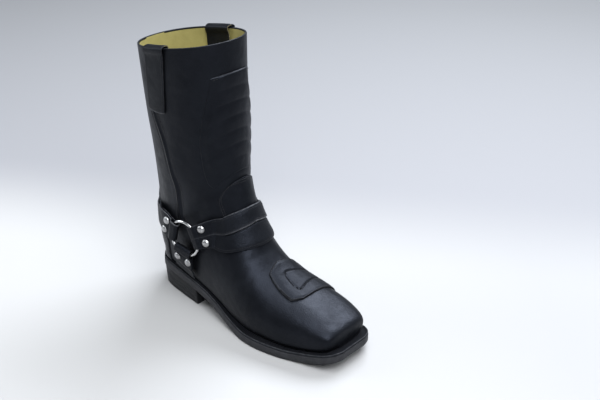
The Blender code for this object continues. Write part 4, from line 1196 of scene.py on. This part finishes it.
def sew_strap(strap, stepped):
    """Stitches along both edges of a strap, and above the front strap's ridge."""
    two = len(strap.seats) == 2
    s = np.arange(RUN_START - 4, strap.length - (RUN_START - 4 if two else 4), 1.5)
    from_ring = strap.from_ring(s)
    half_width = smooth(strap.widths, from_ring)
    folded = (STRAP_THICK + GAP) * (1 - smoothstep(TAIL_END, RUN_START, from_ring))
    rows = [1 - STRAP_STITCH / half_width, STRAP_STITCH / half_width - 1]
    if stepped:
        rows.append(smooth(RIDGE_SIDE, from_ring) + RIDGE_STITCH)
    for across in rows:
        sag = strap_sag(strap, s, (1 - np.abs(across)) * half_width)
        top = STRAP_THICK + strap_raise(strap, s, across, stepped) - sag + folded - STRAP_STITCH_SINK
        points = strap.point(s, across, top)
        stitch("straps", points, unit(strap.point(s, across, top + 1) - points))


def make_ring(side, seat):
    around, about = round_turn(RING_TURNS)[:, None, None], round_turn(RING_SIDES)[:, None]
    outward = np.cos(around) * seat.across + np.sin(around) * seat.upward
    wire = outward * np.cos(about) + seat.axis * np.sin(about)
    height = STRAP_LIFT + STRAP_THICK + POCKET / 2 + seat.rise
    points = seat.centre + seat.axis * height + outward * RING_RADIUS + wire * RING_WIRE / 2
    faces = round_faces(RING_TURNS, RING_SIDES, closed=True)
    add_piece(f"ring_{side}_steel", points, faces, [STEEL], "steel", ["ring_" + side])


def make_rivet(name, strap_seat):
    """Smooth domed head where the CAD rivet sits."""
    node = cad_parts[name]
    corners = np.array([node.matrix_world @ v.co for v in node.data.vertices]) / MM
    middle = corners.mean(0)
    _, _, ways = np.linalg.svd(corners - middle)
    axis = ways[2] * np.sign(ways[2] @ strap_seat.axis)
    reach = (corners - middle) @ axis
    flat = corners - middle - reach[:, None] * axis
    centre = middle + flat[reach < reach.min() + 0.1].mean(0) + axis * reach.min()
    rise = axis * (reach.max() - reach.min())
    turn = round_turn(RIVET_SIDES)[:, None]
    outward = np.cos(turn) * ways[0] + np.sin(turn) * np.cross(axis, ways[0])
    rings = [centre + outward * RIVET_RADIUS * width + rise * share for width, share in RIVET_PROFILE]
    crown = len(rings) * RIVET_SIDES
    last = np.arange(crown - RIVET_SIDES, crown)
    faces = round_faces(len(rings), RIVET_SIDES)
    faces += [(*pair, crown) for pair in zip(last.tolist(), np.roll(last, -1).tolist())]
    faces += [tuple(range(RIVET_SIDES))]
    points = np.concatenate([*rings, [centre + rise]])
    add_piece(name + "_steel", points, faces, [RIVET_STEEL], "steel", [name])


def make_harness():
    seats = {side: RingSeat(sign) for side, sign in SIDES.items()}
    both = [seats["lateral"], seats["medial"]]
    straps = {
        "front_strap": Strap(ring_to_ring(both, "front", FRONT_STRAP_PLACES), FRONT_STRAP_WIDTH, both),
        "heel_strap": Strap(ring_to_ring(both, "heel", HEEL_STRAP_PLACES), HEEL_STRAP_WIDTH, both),
    }
    for side, seat in seats.items():
        places = strap_places(leaving(seat, "lower", LEAVE_STEPS + (LOWER_STRAP_REACH,)))
        straps["lower_strap_" + side] = Strap(places, LOWER_STRAP_WIDTH, [seat])
        make_ring(side, seat)
    for name, strap in straps.items():
        make_strap(name, strap, stepped=name == "front_strap")
        for number in range(1, 2 * len(strap.seats) + 1):
            make_rivet(f"rivet_{name}_{number}", strap.seats[(number - 1) // 2])


# Pull straps
PULL_EDGE = 0.9         # radius of the edges
PULL_STEP = 2.4         # between the columns
PULL_OUTER_PARTS = (1.0, 0.85, 0.7, 0.55, 0.37)     # places down the outer leg, as shares of its length
PULL_INNER_PARTS = (0.5, 0.75, 1.0)                 # and down the inner leg
# Pale wearing along a pull strap's edges, and a painted highlight along the end of its outer leg, over this
# reach.
PULL_EDGE_WEAR, PULL_END_HIGHLIGHT, PULL_END_REACH = 0.04, 0.25, 1.6
PULL_ROWS = (-0.86, 0.86)       # rows of stitches along the outer leg, as shares of the half width
PULL_END_ROWS = (3.0, 7.0)      # and across it, from its end
PULL_SEWN_UNTIL = -16.0         # the long rows stop here, under the collar


def pull_path():
    """Climbs over the collar and heights over the upper along the strap's middle line: up the outside,
    over the collar and down the inside."""
    out, into = OVERLAY_GAP + PULL_THICK / 2, -WALL - OVERLAY_GAP - PULL_THICK / 2
    corners = [(-PULL_OUTSIDE * part, out) for part in PULL_OUTER_PARTS]
    corners += [(-below, out + off) for below, off in PULL_BEND]
    for turn in np.radians(range(0, 181, 30)):
        corners.append((LOOP_RISE * np.sin(turn), -WALL / 2 + LOOP_REACH * np.cos(turn)))
    corners += [(-below, into - off) for below, off in PULL_BEND[::-1]]
    corners += [(-PULL_INSIDE * part, into) for part in PULL_INNER_PARTS]
    return through(corners, steps=7)


def make_pull_strap(side, sign):
    middle_v = sign * PULL_SIDE[side]
    along_u, along_v = slopes(np.array(COLLAR_ROW - 0.5), np.array(middle_v))
    per_u, girth = np.linalg.norm(along_u), np.linalg.norm(along_v)
    share = 2 * close_ends(2 * PULL_HALF_WIDTH, 1.2, PULL_STEP) - 1
    path = pull_path()
    to_edge = (1 - np.abs(share)) * PULL_HALF_WIDTH
    half = PULL_THICK / 2 * edge_round(to_edge, PULL_EDGE, BAND_RIM)

    def on_shaft(climb, height, across):
        aside = across * PULL_HALF_WIDTH
        fall = np.where(height > 0, np.maximum(-climb, 0), 0)
        v = middle_v + sign * (aside + PULL_DRIFT * fall) / girth
        slant = aside * PULL_SLANT * np.clip(fall / PULL_OUTSIDE, 0, 1)
        u = COLLAR_ROW + (np.minimum(climb, 0) + slant) / per_u
        upward = unit(slopes(u, v)[0])
        return lifted(u, v, height) + upward * np.maximum(climb, 0)[..., None]

    points, faces = closed_plate(*(on_shaft(*face, share) for face in band_faces(path, half)))
    to_end = running_length(path)[:, None]
    # Wearing along the edges, and a painted highlight along the outer leg's end.
    edge_wear = PULL_EDGE_WEAR * np.clip(1 - to_edge / PULL_EDGE, 0, 1)
    wear = np.maximum(edge_wear, PULL_END_HIGHLIGHT * np.clip(1 - to_end / PULL_END_REACH, 0, 1)).reshape(-1)
    # The plate's faces end with its edges: a row, a column, a row and a column.
    # The columns show the cut leather on the inner leg.
    rows, columns = len(path) - 1, len(share) - 1
    first_column = 2 * rows * columns + columns
    inner_leg = np.flatnonzero(path[:-1, 1] < 0)
    slots = np.zeros(len(faces), int)
    slots[first_column + inner_leg] = 1
    slots[first_column + rows + columns + inner_leg] = 1
    add_leather("pull_strap_" + side, points, faces, [STRAP_LEATHER, CUT_EDGE], slots,
                wear=np.concatenate([wear, wear]))
    leg = np.linspace(PULL_END_ROWS[0] - PULL_OUTSIDE, PULL_SEWN_UNTIL, 60)
    lines = [(leg, edge) for edge in PULL_ROWS]
    lines += [(rise - PULL_OUTSIDE, np.linspace(-0.84, 0.84, 40)) for rise in PULL_END_ROWS]
    top = OVERLAY_GAP + PULL_THICK
    for climb, across in lines:
        line = on_shaft(climb, top, across)
        stitch("pull_straps", line, unit(on_shaft(climb, top + 1, across) - line))


# Bottom
LOOP_POINTS = 440       # round the sole
HEEL_POINTS = 200       # round the heel
FRONT_EDGE = 0.02       # points this close to the foremost line belong to a straight front edge
TREAD_DEPTH, TREAD_PITCH, TREAD_CHEVRON = 1.1, 9.0, 0.28
TREAD_BAR = (0.32, 0.44)        # a bar's wall, as shares of the pitch from its middle
# Columns: middle, and where the grooves start or end at the sides, in front and at the back.
SOLE_TREAD = (3.0, (38.0, 40.0), (-236.0, -232.0), (-126.0, -122.0))
HEEL_TREAD = (0.0, (26.0, 28.0), (-36.0, -33.0), (25.0, 29.0))
SOLE_TREAD_COLUMNS, HEEL_TREAD_COLUMNS = 44, 30
HEEL_LAYERS = (0.30, 0.62)      # joints between the lifts, as shares of the heel's height
HEEL_JOINT = 0.9
JOINT_STEPS = (-0.05, -0.03, 0.0, 0.03, 0.05)
HEEL_ROUND, HEEL_ROUND_SHARE = 1.2, 0.05        # its lower edge
SEAT_GAP = 0.05         # the outsole stands this far from the heel and the welt


def welt_loop():
    """Even points round the upper's lower edge from the middle of the toe, and their outward directions."""
    u = np.linspace(0, HEEL_ROW, 40 * HEEL_ROW + 1)
    lateral, medial = surface(u, -1.0)[:, :2], surface(u, 1.0)[:, :2]
    toe = (lateral[:1] + medial[:1]) / 2
    even = even_points(np.concatenate([toe, lateral, medial[-2::-1]]), LOOP_POINTS)
    along = np.roll(even, -3, 0) - np.roll(even, 3, 0)
    outward = unit(np.stack([-along[:, 1], along[:, 0]], -1))
    for _ in range(4):
        outward = unit(np.roll(outward, 1, 0) + 2 * outward + np.roll(outward, -1, 0))
    return even, outward


LOOP, LOOP_OUT = welt_loop()
OVERHANG = smooth(SOLE_EDGE, LOOP[:, 1])        # of the sole's edge, at each point of the loop


def level(offset, up):
    """The loop moved out by an offset, at a height over the sole's underside."""
    moved = LOOP + LOOP_OUT * np.broadcast_to(offset, LOOP_POINTS)[:, None]
    return np.column_stack([moved, tread_height(moved[:, 1]) + up])


def tread(place, x, y):
    """Height of the grooves between bars that cross a sole in a shallow chevron."""
    middle, sides, front, back = place
    aside = np.abs(x - middle)
    wave = (y + TREAD_CHEVRON * aside) / TREAD_PITCH
    groove = smoothstep(*TREAD_BAR, np.abs(wave % 1 - 0.5))
    inside = (1 - smoothstep(*sides, aside)) * smoothstep(*front, y) * (1 - smoothstep(*back, y))
    return TREAD_DEPTH * groove * inside


def bridge(first, second):
    """Triangles between two lines of point numbers that run the same way."""
    faces, i, j = [], 0, 0
    first_end, second_end = len(first) - 1, len(second) - 1
    while i < first_end or j < second_end:
        if i < first_end and (j == second_end or (i + 1) * second_end <= (j + 1) * first_end):
            faces.append((first[i], first[i + 1], second[j]))
            i += 1
        else:
            faces.append((first[i], second[j + 1], second[j]))
            j += 1
    return faces


def cap(points, columns, place=None):
    """Inner points and faces that cover a loop, in rows from its straight front edge to its back.
    They may carry the tread of a place."""
    size = len(points)
    half = size // 2
    beyond = np.abs(points[:, 1] - points[0, 1]) > FRONT_EDGE
    straight = max(int(np.argmax(beyond[:half])), int(np.argmax(np.roll(beyond[::-1], 1)[:half])))
    lateral = np.arange(straight, half)
    medial = size - lateral
    share = np.linspace(0, 1, columns)[1:-1]
    inner = points[lateral, None] * (1 - share)[:, None] + points[medial, None] * share[:, None]
    if place is not None:
        inner[..., 2] += tread(place, inner[..., 0], inner[..., 1])
    numbers = size + np.arange(inner[..., 0].size).reshape(len(lateral), -1)
    index = np.column_stack([lateral, numbers, medial])
    front = [k % size for k in range(straight - 1, -straight, -1)]
    faces = quads(index) + bridge(front, index[0].tolist()) + bridge(index[-1].tolist(), [half])
    return inner.reshape(-1, 3), faces


def loops_solid(loops, bottom_columns=3, tread_place=None):
    """Closed solid through loops from the lowest to the highest. The bottom may carry a tread."""
    size = len(loops[0])
    points = np.concatenate(loops)
    faces = round_faces(len(loops), size)
    for first, columns, place in ((0, bottom_columns, tread_place), ((len(loops) - 1) * size, 3, None)):
        inner, cover = cap(points[first:first + size], columns, place)
        moved = len(points)
        faces += [tuple(k + first if k < size else k - size + moved for k in face) for face in cover]
        points = np.concatenate([points, inner])
    return points, faces


def make_outsole():
    top = OUTSOLE_THICK
    profile = ((-1.4, 0.0), (-0.9, 0.18), (-0.35, 0.55), (0.0, 1.1), (0.05, top / 2), (0.0, top - 0.7),
               (-0.2, top - 0.2), (-0.6, top))      # out from the edge, height
    loops = [level(OVERHANG + out, up) for out, up in profile]
    points, faces = loops_solid(loops, SOLE_TREAD_COLUMNS, SOLE_TREAD)
    add_piece("outsole_rubber", points, faces, [RUBBER], "rubber", ["outsole"])


def make_welt():
    lip, low = OVERHANG - 0.4, OUTSOLE_THICK + SEAT_GAP
    profile = ((-WELT_INSIDE, 0.0, 0.0), (lip - 0.3, 0.0, 0.0), (lip, 0.35, 0.1), (lip + 0.05, 1.2, 0.12),
               (lip, 2.4, 0.15), (lip - 0.3, 2.85, 0.3), (lip - 0.8, 3.0, 0.3), (lip - 1.3, 2.85, 0.1),
               (lip - 1.7, 2.2, 0.0), (lip * 0.45 - 0.4, 1.35, 0.0), (-0.4, 1.3, 0.0), (-1.2, 2.6, 0.0),
               (-WELT_INSIDE, 2.8, 0.0))            # offset, height, and paleness from wearing with a painted highlight on the lip's top
    loops = [level(out, low + up) for out, up, _ in profile]
    # The lip's top is painted paler: wearing, and a painted highlight where it faces the light.
    wear = np.repeat([worn_and_highlit for _, _, worn_and_highlit in profile], LOOP_POINTS)
    faces = round_faces(len(loops), LOOP_POINTS, closed=True)
    add_piece("welt_leather", np.concatenate(loops), faces, [WELT_LEATHER], "welt", ["welt"], wear=wear)


def make_insole():
    inset, top = -WELT_INSIDE - GAP, SOLE_STACK + INSOLE_RISE
    profile = ((inset, OUTSOLE_THICK + GAP), (inset, top - 0.8), (inset - 0.25, top - 0.25),
               (inset - 0.9, top))
    points, faces = loops_solid([level(out, up) for out, up in profile])
    add_piece("insole_lining", points, faces, [LINING], "lining", ["insole"])


def heel_loop(inset):
    """The sole's outline behind the breast, from the breast's middle round the lateral side."""
    edge = LOOP + LOOP_OUT * (OVERHANG - inset)[:, None]
    half = LOOP_POINTS // 2
    sides = []
    for side in (edge[:half + 1], np.concatenate([edge[:1], edge[:half - 1:-1]])):
        corner = [np.interp(BREAST_Y, side[half // 3:, 1], side[half // 3:, 0]), BREAST_Y]
        sides.append(np.concatenate([[corner], side[side[:, 1] > BREAST_Y + 1.0]]))
    lateral, medial = sides
    share = np.linspace(0.5, 1.0, 9)[:-1, None]
    to_lateral = medial[0] * (1 - share) + lateral[0] * share
    from_medial = (lateral[0] * (1 - share) + medial[0] * share)[:0:-1]
    return even_points(np.concatenate([to_lateral, lateral, medial[-2::-1], from_medial]), HEEL_POINTS)


def make_heel():
    shares = [0.0, 0.015, 0.05, 0.15]
    for layer in HEEL_LAYERS:
        shares += [layer + step for step in JOINT_STEPS]
    shares += [0.8, 0.97, 1.0]
    low, high = HEEL_INSET
    loops = []
    for share in shares:
        joint = HEEL_JOINT if share in HEEL_LAYERS else 0.0
        rounded = HEEL_ROUND * (1 - edge_round(share, HEEL_ROUND_SHARE))
        outline = heel_loop(low + (high - low) * share + rounded + joint)
        loops.append(np.column_stack([outline, share * (tread_height(outline[:, 1]) - SEAT_GAP)]))
    points, faces = loops_solid(loops, HEEL_TREAD_COLUMNS, HEEL_TREAD)
    add_piece("heel_block", points, faces, [HEEL_RUBBER], "rubber", ["heel"])


def add_floor():
    size, height = 6.0, -0.0002
    mesh = bpy.data.meshes.new("floor")
    corners = [(-size, -size, height), (size, -size, height), (size, size, height), (-size, size, height)]
    mesh.from_pydata(corners, [], [(0, 1, 2, 3)])
    mesh.materials.append(floor_material())
    floor = bpy.data.objects.new("floor", mesh)
    bpy.context.collection.objects.link(floor)


def main():
    add_camera()
    add_light()
    add_floor()
    make_upper()
    make_shin_pad()
    make_tongue()
    make_vamp_pad()
    make_counter()
    for side, sign in SIDES.items():
        make_side_seam(side, sign)
        make_pull_strap(side, sign)
    make_harness()
    make_outsole()
    make_welt()
    make_insole()
    make_heel()
    add_stitching()


main()
